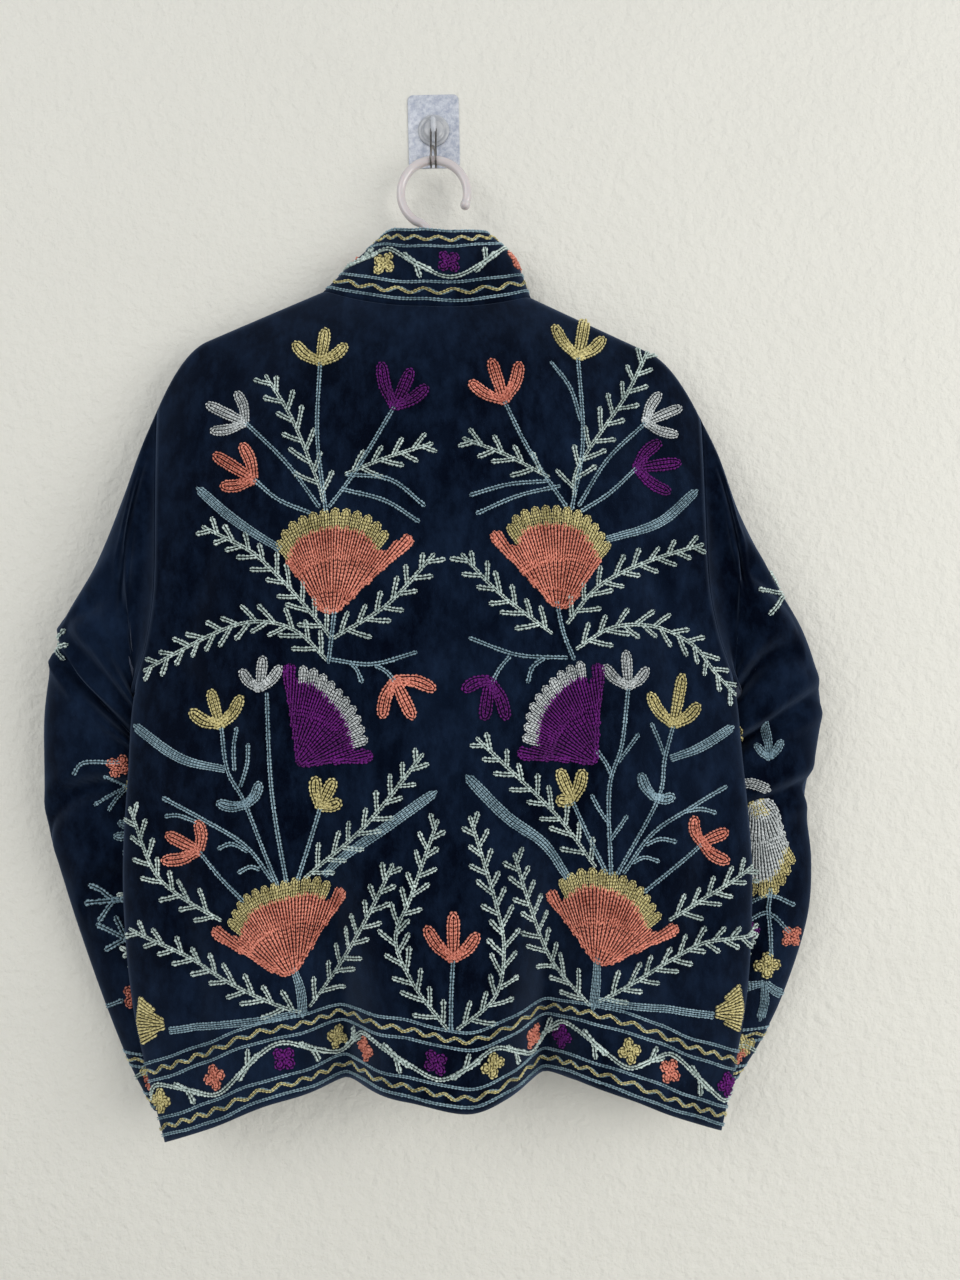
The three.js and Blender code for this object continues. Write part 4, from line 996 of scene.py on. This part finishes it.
def tulip(base, petals, thread, width):
    """A flower of fat round-ended petals that grow out of a rounded cup."""
    base, petals = np.array(base, float), np.array(petals, float)
    middle = petals.mean(0) - base
    strokes = []
    for tip in petals:
        way = tip - base
        side = np.array([-way[1], way[0]])
        lean = (way[0] * middle[1] - way[1] * middle[0]) / (np.linalg.norm(way) * np.linalg.norm(middle))
        belly = base + 0.5 * way - side * 0.12 * lean
        strokes += lobe([base, belly, tip], thread, width)
    for high, low in ((0.46, -0.06), (0.30, 0.12)):
        cup = [base + high * (petals[0] - base), base + low * middle, base + high * (petals[-1] - base)]
        strokes.append((curve_through(cup, 1.2), thread, 0.45 * width))
    return strokes


def filled(outline, focus, thread, width=4.8, apart=3.3):
    """Rows that spread from a focus and fill an outline, with fewer of them where they would crowd."""
    outline, focus = np.asarray(outline, float), np.asarray(focus, float)
    away = outline - focus
    edges = np.roll(outline, -1, 0) - outline
    far = np.linalg.norm(away, axis=1).max()
    middle = outline.mean(0) - focus
    facing = math.atan2(middle[1], middle[0])
    angles = (np.arctan2(away[:, 1], away[:, 0]) - facing + math.pi) % (2 * math.pi) - math.pi
    step = apart / far
    strokes = []
    for count in range(math.ceil(angles.min() / step), math.floor(angles.max() / step) + 1):
        way = np.array([math.cos(facing + count * step), math.sin(facing + count * step)])
        turned = way[0] * edges[:, 1] - way[1] * edges[:, 0]
        turned = np.where(np.abs(turned) < 1e-9, 1e-9, turned)
        reach = (away[:, 0] * edges[:, 1] - away[:, 1] * edges[:, 0]) / turned
        share = (away[:, 0] * way[1] - away[:, 1] * way[0]) / turned
        crossed = np.sort(reach[(share >= 0) & (share < 1) & (reach > 0)])
        nearest = 0.55 * far if count % 2 else (0.28 * far if count % 4 else 0)
        for start, end in zip(crossed[::2], crossed[1::2]):
            start, end = max(start + 1.2, nearest * (1 + 0.12 * math.sin(3.1 * count))), end - 1.0
            if end - start > 3:
                strokes.append((focus + way * np.linspace(start, end, int((end - start) / 1.5) + 2)[:, None],
                                thread, width))
    return strokes


def fern(points, first=1, every=17.0, length=18.5):
    """A pale spray: a spine, and blunt leaflets in pairs up both its sides, first on the side of `first`."""
    path = curve_through(points, 1.0)
    lengths = lengths_along(path)
    ahead = np.gradient(path, axis=0)
    strokes = [(path, "pale", SPINE_WIDTH)]
    pairs = max(2, round(lengths[-1] / every))
    for count in range(2 * pairs):
        side = first * (1 if count % 2 else -1)
        at = lengths[-1] * (count // 2 + (0.80 if count % 2 else 0.40)) / (pairs + 0.30)
        i = min(len(path) - 2, int(np.searchsorted(lengths, at)))
        reach = length * (0.92 + 0.12 * math.sin(2.4 * count)) * (1.0 - 0.38 * (at / lengths[-1]) ** 2)
        angle = math.radians(43 + 7 * math.sin(1.7 * count)) * side
        way = ahead[i] / np.linalg.norm(ahead[i])
        turned = np.array([way[0] * math.cos(angle) - way[1] * math.sin(angle),
                           way[0] * math.sin(angle) + way[1] * math.cos(angle)])
        leaflet = [path[i], path[i] + 0.55 * reach * turned, path[i] + reach * (turned + 0.06 * way)]
        strokes.append((curve_through(leaflet, 1.2), "pale", LEAFLET_WIDTH))
    return strokes


def fan(apex, arc, depth, body, crown, scallops, horns=(), foot=11):
    """A fan flower: a round-footed body filled with rows, horns at its upper ends, and a crown of lobes."""
    apex = np.array(apex, float)
    outer = curve_through(arc, 1.0)
    rays = apex - outer
    rays /= np.linalg.norm(rays, axis=1)[:, None]
    inner = outer + rays * (depth - 2 + 1.6 * np.sin(np.arange(len(outer)) * 0.75))[:, None]
    across = (outer[-1] - outer[0]) / np.linalg.norm(outer[-1] - outer[0])
    upwards = np.array([across[1], -across[0]])
    upwards = upwards * np.sign(upwards @ (outer[len(outer) // 2] - apex))
    sides = []
    for sign, corner in ((-1, inner[0]), (1, inner[-1])):
        low = apex + upwards * foot * 0.42 + across * sign * foot * 0.86
        tips = [np.array(tip, float) for tip in horns if sign * ((np.array(tip) - apex) @ across) > 0]
        if tips:
            tip = tips[0]
            way = (tip - low) / np.linalg.norm(tip - low)
            out = np.array([way[1], -way[0]])
            out = out * np.sign(out @ across * sign)
            sides.append([low, low + 0.5 * (tip + 3 * out - low), tip - 5 * way + 5 * out,
                          tip - 1.5 * way + 3.6 * out, tip, tip - 1.5 * way - 3.6 * out,
                          tip - 5 * way - 5 * out, tip - 23 * way - 5.6 * out])
        else:
            sides.append([low, low + 0.5 * (corner - low), corner])
    heel = apex + upwards * foot * 0.12
    bottom = [heel - across * foot * 0.5, apex, heel + across * foot * 0.5]
    outline = np.array([*sides[0][::-1], *bottom, *sides[1], *inner[::-1]])
    strokes = filled(outline, apex - upwards * 9, body)
    edge = curve_through([*sides[0][:5][::-1], *bottom, *sides[1][:5]], 1.5)
    inwards = apex + upwards * 30 - edge
    edge = edge + inwards / np.linalg.norm(inwards, axis=1)[:, None] * 2.0
    strokes.append((edge, body, 4.8))
    lengths = lengths_along(outer)
    for count in range(scallops):
        share = lengths[-1] * (count + 0.5) / scallops
        tip = np.array([np.interp(share, lengths, outer[:, axis]) for axis in (0, 1)])
        way = (apex - tip) / np.linalg.norm(apex - tip)
        middle = tip + 0.5 * depth * way
        strokes += lobe([tip + depth * way, middle, tip], crown, 0.97 * lengths[-1] / scallops)
    return strokes


# ---------------------------------------------------------------------------------------------------
# The fan flowers of the back, the largest motifs: two pairs with coral bodies and gold crowns, and between
# them a pair of purple quarter fans with grey crowns. A horn stands at the ends of a body, by its crown.
back_fans = []
for apex, arc, horns in (
        ((-80, 436), [(-127, 380), (-112, 360), (-79, 350), (-48, 356), (-31, 373)], [(-14, 373)]),
        ((105, 433), [(63, 367), (74, 352), (101, 346), (130, 353), (151, 380)], [(52, 369)])):
    back_fans.append(fan(apex, arc, 17, "coral", "gold", 12, horns))
for apex, arc, horns in (
        ((-119, 728), [(-172, 686), (-155, 661), (-125, 650), (-100, 648), (-85, 655)],
         [(-184, 690), (-76, 658)]),
        ((131, 725), [(99, 658), (118, 646), (140, 647), (166, 661), (185, 689)],
         [(198, 697), (92, 665)])):
    back_fans.append(fan(apex, arc, 16, "coral", "gold", 12, horns))
for apex, arc, horns in (
        ((-110, 556), [(-108, 476), (-88, 483), (-62, 510), (-51, 540)], [(-116, 475), (-48, 549)]),
        ((133, 559), [(72, 541), (80, 510), (104, 484), (125, 475)], [(136, 478), (68, 549)])):
    back_fans.append(fan(apex, arc, 14, "purple", "grey", 10, horns, foot=4))
embroider("back_fans", sum(back_fans, []), on_body("back"))


# ---------------------------------------------------------------------------------------------------
# The tulips of the back: two or three fat petals each, worked on the ends of the stems in four colours of
# cotton and light teal. Each row has a thread, the flower's foot and the tips of its petals.
BACK_TULIPS = [
    ("gold", (-89, 226), [(-112, 208), (-85, 196), (-67, 211)]),
    ("purple", (-26, 266), [(-37, 228), (-12, 234), (1, 249)]),
    ("grey", (-153, 277), [(-188, 260), (-162, 250), (-184, 283)]),
    ("coral", (-145, 325), [(-181, 303), (-156, 295), (-174, 330)]),
    ("gold", (128, 214), [(109, 185), (137, 174), (152, 193)]),
    ("coral", (64, 258), [(36, 243), (54, 222), (78, 223)]),
    ("grey", (184, 270), [(198, 242), (217, 253), (212, 279)]),
    ("purple", (174, 311), [(196, 286), (213, 304), (203, 331)]),
    ("coral", (-29, 489), [(-40, 519), (-15, 520), (3, 497)]),
    ("purple", (47, 490), [(26, 498), (42, 522), (60, 522)]),
    ("grey", (-141, 495), [(-157, 480), (-138, 469), (-123, 477)]),
    ("grey", (161, 498), [(141, 480), (160, 468), (178, 483)]),
    ("gold", (-176, 524), [(-202, 513), (-184, 496), (-157, 501)]),
    ("gold", (199, 531), [(179, 504), (209, 489), (222, 515)]),
    ("coral", (-194, 626), [(-224, 614), (-195, 602), (-228, 636)]),
    ("coral", (220, 630), [(214, 608), (243, 622), (243, 647)]),
    ("gold", (-92, 590), [(-95, 566), (-80, 568), (-75, 586)]),
    ("gold", (112, 589), [(102, 564), (121, 565), (100, 588)]),
    ("coral", (13, 713), [(-8, 687), (14, 676), (33, 694)]),
    ("teal", (-153, 588), [(-178, 587), (-141, 570)]),
    ("teal", (180, 590), [(169, 570), (197, 590)]),
]
TULIP_WIDTHS = {"grey": 10.2, "teal": 10.2, "gold": 11.8, "coral": 11.8, "purple": 11.8}
back_tulips = [tulip(base, petals, thread, TULIP_WIDTHS[thread]) for thread, base, petals in BACK_TULIPS]
embroider("back_tulips", sum(back_tulips, []), on_body("back"))


# ---------------------------------------------------------------------------------------------------
# The ferns of the back: sprays in pale thread that curve out from under each fan, with short leaflets on
# both sides. Each is a spine's points, from its foot to its tip, and two are larger than the rest.
BACK_FERNS = [
    [(-86, 345), (-91, 327), (-112, 276), (-136, 237)],
    [(-68, 322), (-34, 309), (4, 297)],
    [(-80, 455), (-105, 425), (-131, 398), (-151, 382), (-190, 363)],
    [(-79, 455), (-34, 428), (4, 388)],
    [(-84, 473), (-105, 452), (-129, 442), (-160, 443), (-204, 460), (-245, 480)],
    [(120, 338), (125, 311), (167, 248), (191, 201)],
    [(100, 322), (66, 305), (30, 292)],
    [(111, 445), (138, 414), (178, 393), (230, 376)],
    [(99, 453), (57, 420), (27, 388)],
    [(118, 466), (150, 448), (187, 448), (219, 464), (238, 488), (256, 508)],
    [(-107, 649), (-56, 606), (-8, 549)],
    [(-176, 683), (-229, 652), (-257, 593)],
    [(-113, 760), (-168, 735), (-215, 711), (-258, 694)],
    [(-107, 757), (-80, 722), (-52, 673), (-34, 637)],
    [(8, 770), (-20, 732), (-33, 697), (-19, 661), (3, 602)],
    [(15, 770), (46, 746), (54, 708), (48, 669), (29, 600)],
    [(130, 644), (97, 599), (36, 537)],
    [(190, 691), (224, 675), (265, 653)],
    [(130, 755), (182, 729), (221, 713), (267, 711)],
    [(124, 759), (93, 724), (75, 672), (64, 631)],
]
LARGE_FERNS = {0: {"every": 20.0, "length": 20.5}, 5: {"every": 20.0, "length": 20.5}}
back_ferns = []
for count, points in enumerate(BACK_FERNS):
    back_ferns.append(fern(points, first=1 if count % 2 else -1, **LARGE_FERNS.get(count, {})))
embroider("back_ferns", sum(back_ferns, []), on_body("back"))


# ---------------------------------------------------------------------------------------------------
# The stems of the back and their long leaves, in light teal: single rows for the stems, and thick blunt
# leaves three rows wide. At the sides, low down, a double stem ends in a gold bud.
BACK_STEMS = [
    [(-89, 226), (-91, 290), (-84, 352)], [(-26, 266), (-58, 318), (-81, 348)],
    [(-153, 277), (-117, 312), (-90, 348)], [(-145, 325), (-124, 342), (-98, 353)],
    [(-67, 322), (-30, 327), (-3, 348)], [(-71, 334), (-35, 344), (-8, 361)], [(-77, 430), (-83, 474)],
    [(-81, 472), (-47, 476), (-12, 467)], [(-66, 474), (-60, 480), (-56, 490)],
    [(-45, 477), (-36, 482), (-29, 490)], [(128, 214), (129, 290), (118, 348)],
    [(128, 272), (120, 243), (105, 221)], [(64, 258), (84, 300), (113, 346)],
    [(184, 270), (150, 304), (124, 345)], [(174, 311), (150, 334), (126, 350)],
    [(100, 325), (67, 329), (35, 339)], [(109, 329), (75, 338), (40, 354)],
    [(103, 426), (108, 452), (116, 474)], [(111, 473), (70, 470), (32, 456)],
    [(64, 471), (56, 480), (49, 492)], [(92, 473), (82, 480), (78, 492)],
    [(-175, 526), (-169, 561), (-153, 589), (-128, 652)], [(-163, 561), (-164, 542), (-161, 527)],
    [(-158, 574), (-152, 556), (-151, 540)], [(-135, 498), (-131, 576), (-121, 650)],
    [(-131, 650), (-153, 622), (-192, 600), (-226, 584)], [(-196, 603), (-212, 598), (-224, 599)],
    [(-152, 626), (-166, 620), (-177, 624)], [(-142, 640), (-150, 638), (-160, 643)],
    [(-194, 627), (-176, 648), (-157, 666)], [(-92, 591), (-102, 620), (-112, 649)],
    [(161, 499), (154, 545), (142, 582), (142, 650)], [(145, 572), (140, 560), (133, 550)],
    [(150, 560), (160, 548), (168, 538)], [(142, 610), (134, 598), (128, 586)],
    [(142, 622), (150, 612), (156, 604)], [(199, 532), (190, 560), (183, 592), (147, 650)],
    [(190, 556), (186, 544), (180, 530)], [(152, 650), (178, 619), (212, 600), (243, 585)],
    [(206, 603), (220, 602), (233, 606)], [(172, 628), (184, 624), (197, 627)],
    [(160, 642), (170, 638), (182, 642)], [(220, 631), (196, 648), (170, 666)],
    [(112, 590), (124, 618), (138, 648)], [(13, 714), (11, 742), (10, 770)],
]
BACK_LEAVES = [
    ([(-122, 383), (-162, 358), (-195, 331)], 9), ([(146, 374), (192, 358), (227, 328)], 9),
    ([(-171, 560), (-211, 551), (-254, 525)], 9), ([(195, 559), (221, 551), (252, 535)], 9),
    ([(-92, 648), (-74, 631), (-36, 605), (2, 579)], 9), ([(108, 654), (88, 624), (58, 600), (27, 567)], 10),
    ([(-118, 722), (-113, 742), (-112, 764)], 8), ([(130, 718), (129, 740), (126, 762)], 8),
]
DOUBLE_STEMS = [[(-117, 760), (-171, 768), (-224, 777)], [(130, 754), (177, 763), (227, 774)]]
BUD_X, BUD_DOWN = 228, 772
BUD_OUTLINE = [(0, -2), (23, -23), (27, 0), (23, 20), (0, 2)]
back_stems = [row(points, "teal", 4.4) for points in BACK_STEMS]
back_stems += [leaf(points, "teal", width, full=0.6) for points, width in BACK_LEAVES]
for points in DOUBLE_STEMS:
    path = curve_through(points, 1.5)
    for offset in (-1.7, 1.7):
        back_stems.append([(aside(path, np.full(len(path), offset)), "teal", 3.6)])
for side in (-1, 1):
    bud = [(side * (BUD_X + out), BUD_DOWN + lower) for out, lower in BUD_OUTLINE]
    back_stems.append(filled(bud, (side * (BUD_X - 5), BUD_DOWN), "gold", 5.0, 3.6))
embroider("back_stems", sum(back_stems, []), on_body("back"))


# ---------------------------------------------------------------------------------------------------
# The border: between two sets of lines, each a gold zigzag between teal rows, a pale vine winds past small
# four-lobed flowers. It runs along the hem, round the collar and round both cuffs.
BORDER_HIGH = 68
BORDER_LINES = [5.5, 20.5, 52, 66.5]
BORDER_ZIGZAGS, ZIGZAG_LONG, ZIGZAG_SWING = [12.8, 59.3], 21, 2.2
VINE_HIGH, VINE_SWING, BRANCH_GAP = 36.2, 11.5, 34


def blossom(x, y, thread, size):
    """A small flower with four round lobes, each a coil of one row."""
    strokes = []
    coil = np.linspace(0, 1.6 * 2 * math.pi, 36)
    for turn in 0.6 * math.sin(x + y) + np.array([0.9, 2.45, 4.05, 5.6]):
        spot = np.array([x + 0.52 * size * math.cos(turn), y + 0.49 * size * math.sin(turn)])
        around = np.stack([np.cos(coil + turn), np.sin(coil + turn)], -1)
        strokes.append((spot + around * (0.06 + 0.31 * coil / coil[-1])[:, None] * size, thread, 0.37 * size))
    return strokes


def border(start, end, flowers):
    """Strokes of the border from one place along it to another, with its flowers at (place, thread)."""
    strokes = []
    along_it = np.linspace(start, end, max(3, int((end - start) / 2.5)))
    for line in BORDER_LINES:
        unsteady = 0.5 * np.sin(along_it / 19 + line) + 0.35 * np.sin(along_it / 7.3)
        strokes.append((np.stack([along_it, line + unsteady], -1), "teal", 3.1))
    for line in BORDER_ZIGZAGS:
        for late, thread, width in ((0, "gold", 2.9), (0.9, "teal", 1.7)):
            turns = along_it * 2 * math.pi / ZIGZAG_LONG + 1.1 * np.sin(along_it / 23) + line - late
            wave = line + ZIGZAG_SWING * (np.sin(turns) - 0.12 * np.sin(3 * turns))
            strokes.append((np.stack([along_it, wave], -1), thread, width))
    vine = [(start, VINE_HIGH)]
    for count, (place, thread) in enumerate(flowers):
        side = 1 if count % 2 else -1
        strokes += blossom(place, VINE_HIGH + 2.0 * side, thread, 12.8)
        vine.append((place, VINE_HIGH - VINE_SWING * side))
        if count + 1 < len(flowers):
            gap = flowers[count + 1][0] - place
            half_way = place + gap / 2
            vine.append((half_way, VINE_HIGH))
            if gap > BRANCH_GAP:
                for turn, reach in ((side * 1.25, 12), (side * 0.45, 14), (math.pi + side * 0.6, 13)):
                    tip = (half_way + reach * math.cos(turn), VINE_HIGH + reach * math.sin(turn))
                    strokes += row([(half_way, VINE_HIGH), tip], "pale", 5.4)
    vine.append((end, VINE_HIGH))
    strokes += row(vine, "pale", 4.6)
    return strokes


# How far the hem runs from its middle to a side edge, measured along its folds.
HEM_HALF = 322
HEM_FLOWERS = [(-308, "gold"), (-244, "coral"), (-173, "purple"), (-117, "gold"), (-77, "coral"),
               (-3, "purple"), (49, "gold"), (100, "coral"), (137, "purple"), (205, "gold"),
               (249, "coral"), (312, "purple")]


def on_body_hem(face):
    """The outside of a face of the body, over places (along the hem from its middle, up from it)."""
    def at(along_it, up):
        share = np.clip(along_it / HEM_HALF, -1, 1)
        hem = hem_down(face, share)
        return body_point(face, share, 1 - up / (hem - top_down(face, share * SEAM_HALF)))
    return sewn_on(at, 1.5, -1 if face == "back" else 1)


embroider("hem_border", border(-HEM_HALF + 1, HEM_HALF - 1, HEM_FLOWERS), on_body_hem("back"))


# ---------------------------------------------------------------------------------------------------
# The collar's border: the same one, worked round the whole stand collar from one front edge to the other,
# so that its lowest line meets the neckline's seam.
def on_grid(grid, outwards, wrapped):
    """Places (column, row) of a grid of points, between the points too, and the normals there."""
    normals = outwards * grid_normals(grid, wrapped)
    rows, columns = grid.shape[:2]

    def surface(plan):
        column, line = plan[:, 0], np.clip(plan[:, 1], 0, rows - 1.001)
        column = column % columns if wrapped else np.clip(column, 0, columns - 1.001)
        j, i = np.floor(column).astype(int), np.floor(line).astype(int)
        u, v = (column - j)[:, None], (line - i)[:, None]
        k = (j + 1) % columns

        def mixed(values):
            return ((values[i, j] * (1 - u) + values[i, k] * u) * (1 - v)
                    + (values[i + 1, j] * (1 - u) + values[i + 1, k] * u) * v)
        return mixed(grid), mixed(normals)
    return surface


def on_band(grid, outwards, base_row, high_row, high, wrapped=False):
    """Places (along a row of a grid in millimetres, up from that row) on the grid."""
    line = grid[base_row] if not wrapped else np.concatenate([grid[base_row], grid[base_row][:1]])
    lengths = lengths_along(line)
    surface = on_grid(grid, outwards, wrapped)

    def placed(plan):
        column = np.interp(plan[:, 0], lengths, np.arange(len(lengths)))
        return surface(np.stack([column, base_row + plan[:, 1] / high * (high_row - base_row)], -1))
    return placed, lengths[-1]


COLLAR_FLOWERS = [(-212, "gold"), (-170, "coral"), (-132, "purple"), (-96, "coral"), (-47, "gold"),
                  (11, "purple"), (78, "coral"), (124, "gold"), (172, "purple"), (214, "coral")]
collar_band, collar_long = on_band(collar_grid, 1, COLLAR_ROWS // 2, 0, COLLAR_HIGH / 2)
collar_flowers = [(collar_long / 2 + place, thread) for place, thread in COLLAR_FLOWERS]
collar_strokes = [(path - (0, COLLAR_HIGH / 2), thread, width)
                  for path, thread, width in border(2, collar_long - 2, collar_flowers)]
embroider("collar_border", collar_strokes, collar_band, coarse=1.15)


# ---------------------------------------------------------------------------------------------------
# The cuffs' borders: the same band, worked round the open end of each sleeve, with six flowers. It covers
# the sleeve's last CUFF_ROWS rows of points, and its lines follow the cuff's edge.
CUFF_ROWS = 14
CUFF_FLOWERS = ["coral", "gold", "purple", "gold", "coral", "purple"]
for side, sign in SIDES:
    last = SLEEVE_ROWS - 1
    cuff_band, around = on_band(sleeve_grids[side], -sign, last, last - CUFF_ROWS, BORDER_HIGH, wrapped=True)
    apart = around / len(CUFF_FLOWERS)
    flowers = [((count + 0.5) * apart, thread) for count, thread in enumerate(CUFF_FLOWERS)]
    embroider(f"cuff_border_{side}", border(0, around, flowers), cuff_band, coarse=1.2)


# ---------------------------------------------------------------------------------------------------
# The sleeves' flowers, in the same cotton chain stitch: a hanging fan, small blossoms and three-fingered
# sprigs on the side that faces the room, and two ferns, two blossoms and a tulip on the wall's side.
FAR_OFF = 300


def cast_on(grid, from_room):
    """Places (x, down) on a sleeve, found straight from the room or the wall. Misses come back as NaN."""
    quads = ring_quads(*grid.shape[:2])
    tree = BVHTree.FromPolygons(grid.reshape(-1, 3).tolist(), quads.tolist())
    way = Vector((0, 1 if from_room else -1, 0))

    def surface(plan):
        starts = in_room(plan[:, 0], np.full(len(plan), FAR_OFF if from_room else -FAR_OFF), plan[:, 1])
        places, normals = np.full((len(plan), 3), np.nan), np.zeros((len(plan), 3))
        for count, start in enumerate(starts):
            place, normal, _, _ = tree.ray_cast(Vector(start), way)
            if place is not None:
                places[count] = place
                normals[count] = normal if normal.dot(way) < 0 else -normal
        return places, normals
    return surface


def sprig(base, tips, thread, width=5.2):
    """A small leaf with three blunt fingers."""
    base = np.array(base, float)
    fork = base + 0.3 * (np.mean(tips, axis=0) - base)
    return [stroke for tip in tips for stroke in row([base, fork, tip], thread, width)]


sleeve_flowers = {
    "right": [
        *sprig((312, 420), [(290, 400), (278, 416), (286, 437)], "pale"),
        *tulip((286, 564), [(275, 552), (284, 532), (296, 548)], "teal", 8),
        *blossom(256, 546, "gold", 13),
        *leaf([(256, 588), (270, 586), (286, 592)], "grey", 10, narrow=0.5),
        *fan((277, 600), [(250, 668), (266, 682), (290, 681), (308, 652)], 15, "grey", "gold", 8, foot=14),
        *blossom(277, 608, "gold", 11),
        *row([(285, 676), (285, 735)], "teal"), *row([(266, 692), (285, 683), (306, 692)], "teal"),
        *row([(262, 706), (285, 700), (302, 716)], "teal"),
        *blossom(268, 714, "purple", 10), *blossom(304, 720, "coral", 12), *blossom(282, 744, "gold", 14),
        *leaf([(279, 760), (264, 762), (248, 770)], "teal", 9),
        *leaf([(279, 758), (280, 776), (276, 793)], "teal", 9),
        *leaf([(281, 760), (290, 768), (298, 772)], "teal", 9),
        *row([(250, 738), (236, 752), (232, 768)], "teal"), *blossom(262, 815, "gold", 12),
    ],
    "left": [
        *sprig((-336, 462), [(-315, 446), (-311, 458), (-319, 470)], "pale"),
        *row([(-309, 566), (-300, 556), (-272, 557)], "teal"), *blossom(-272, 560, "coral", 12),
        *blossom(-264, 580, "gold", 10),
        *sprig((-262, 576), [(-284, 568), (-292, 592), (-280, 596)], "teal", 4.6),
        *tulip((-254, 622), [(-274, 608), (-278, 620), (-270, 636)], "teal", 9),
        *blossom(-262, 668, "gold", 10),
        *sprig((-270, 674), [(-300, 662), (-305, 678), (-292, 692)], "teal", 5.6),
        *sprig((-262, 712), [(-294, 696), (-278, 690), (-288, 718)], "teal", 5.6),
        *blossom(-254, 718, "purple", 10), *row([(-292, 770), (-276, 763)], "teal"),
        *blossom(-264, 760, "coral", 14), *blossom(-252, 826, "gold", 13),
        *sprig((-240, 742), [(-226, 730), (-220, 744), (-232, 756)], "teal", 5.0),
    ],
}
for side, sign in SIDES:
    room_side = cast_on(sleeve_grids[side], from_room=True)
    embroider(f"sleeve_flowers_{side}", sleeve_flowers[side], room_side)
    wall_side = [
        *fern([(sign * 268, 640), (sign * 290, 560), (sign * 272, 470)]),
        *blossom(sign * 262, 655, "coral", 13),
        *fern([(sign * 236, 740), (sign * 250, 700), (sign * 286, 668)]),
        *blossom(sign * 228, 752, "gold", 13),
        *tulip((sign * 240, 610), [(sign * 222, 596), (sign * 238, 584), (sign * 252, 596)], "purple", 9),
    ]
    against_wall = cast_on(sleeve_grids[side], from_room=False)
    embroider(f"sleeve_back_flowers_{side}", wall_side, against_wall, coarse=1.4)


# ---------------------------------------------------------------------------------------------------
# The fronts' flowers: the plants of the back's right half in the same threads, and the same ones mirrored on
# the other front, with the border along the hem, and two lines and a zigzag beside the opening.
FRONT_CLEAR, FRONT_LOWER, FRONT_OFF_SEAM = 31, 8, 3
OPENING_HALF = 8
EDGE_TOP_DOWN, EDGE_END_DOWN, EDGE_ZIGZAG_LONG = 262, 758, 17
# The lines beside the opening: how far from the middle, their thread, and how far they swing.
EDGE_LINES = ((13, "teal", 0), (20, "gold", 2.2), (27, "teal", 0))


def on_both_fronts(motifs):
    """The strokes of the motifs that lie wholly on the right front, and the same ones on the left."""
    kept = []
    for strokes in motifs:
        lowered = [(path + (0, FRONT_LOWER), thread, width) for path, thread, width in strokes]
        x, down = np.concatenate([path for path, _, _ in lowered]).T
        if x.min() > FRONT_CLEAR and (down - top_down("front", x)).min() > FRONT_OFF_SEAM:
            kept += lowered
    return kept + [(path * (-1, 1), thread, width) for path, thread, width in kept]


flowers = on_both_fronts(back_fans + back_tulips + back_stems)
embroider("front_flowers", flowers, on_body("front"), coarse=1.9)
embroider("front_ferns", on_both_fronts(back_ferns), on_body("front"), coarse=1.6)
left_border = border(-HEM_HALF + 1, -OPENING_HALF, HEM_FLOWERS[:5])
right_border = border(OPENING_HALF, HEM_HALF - 1, HEM_FLOWERS[7:])
embroider("front_hem_border", left_border + right_border, on_body_hem("front"), coarse=1.8)
front_edges = []
for _, sign in SIDES:
    downs = np.arange(EDGE_TOP_DOWN, EDGE_END_DOWN, 2.5)
    for x, thread, swing in EDGE_LINES:
        path = np.stack([sign * (x + swing * np.sin(downs * 2 * math.pi / EDGE_ZIGZAG_LONG)), downs], -1)
        front_edges.append((path, thread, 3.6))
embroider("front_edge_lines", front_edges, on_body("front"), coarse=1.8)
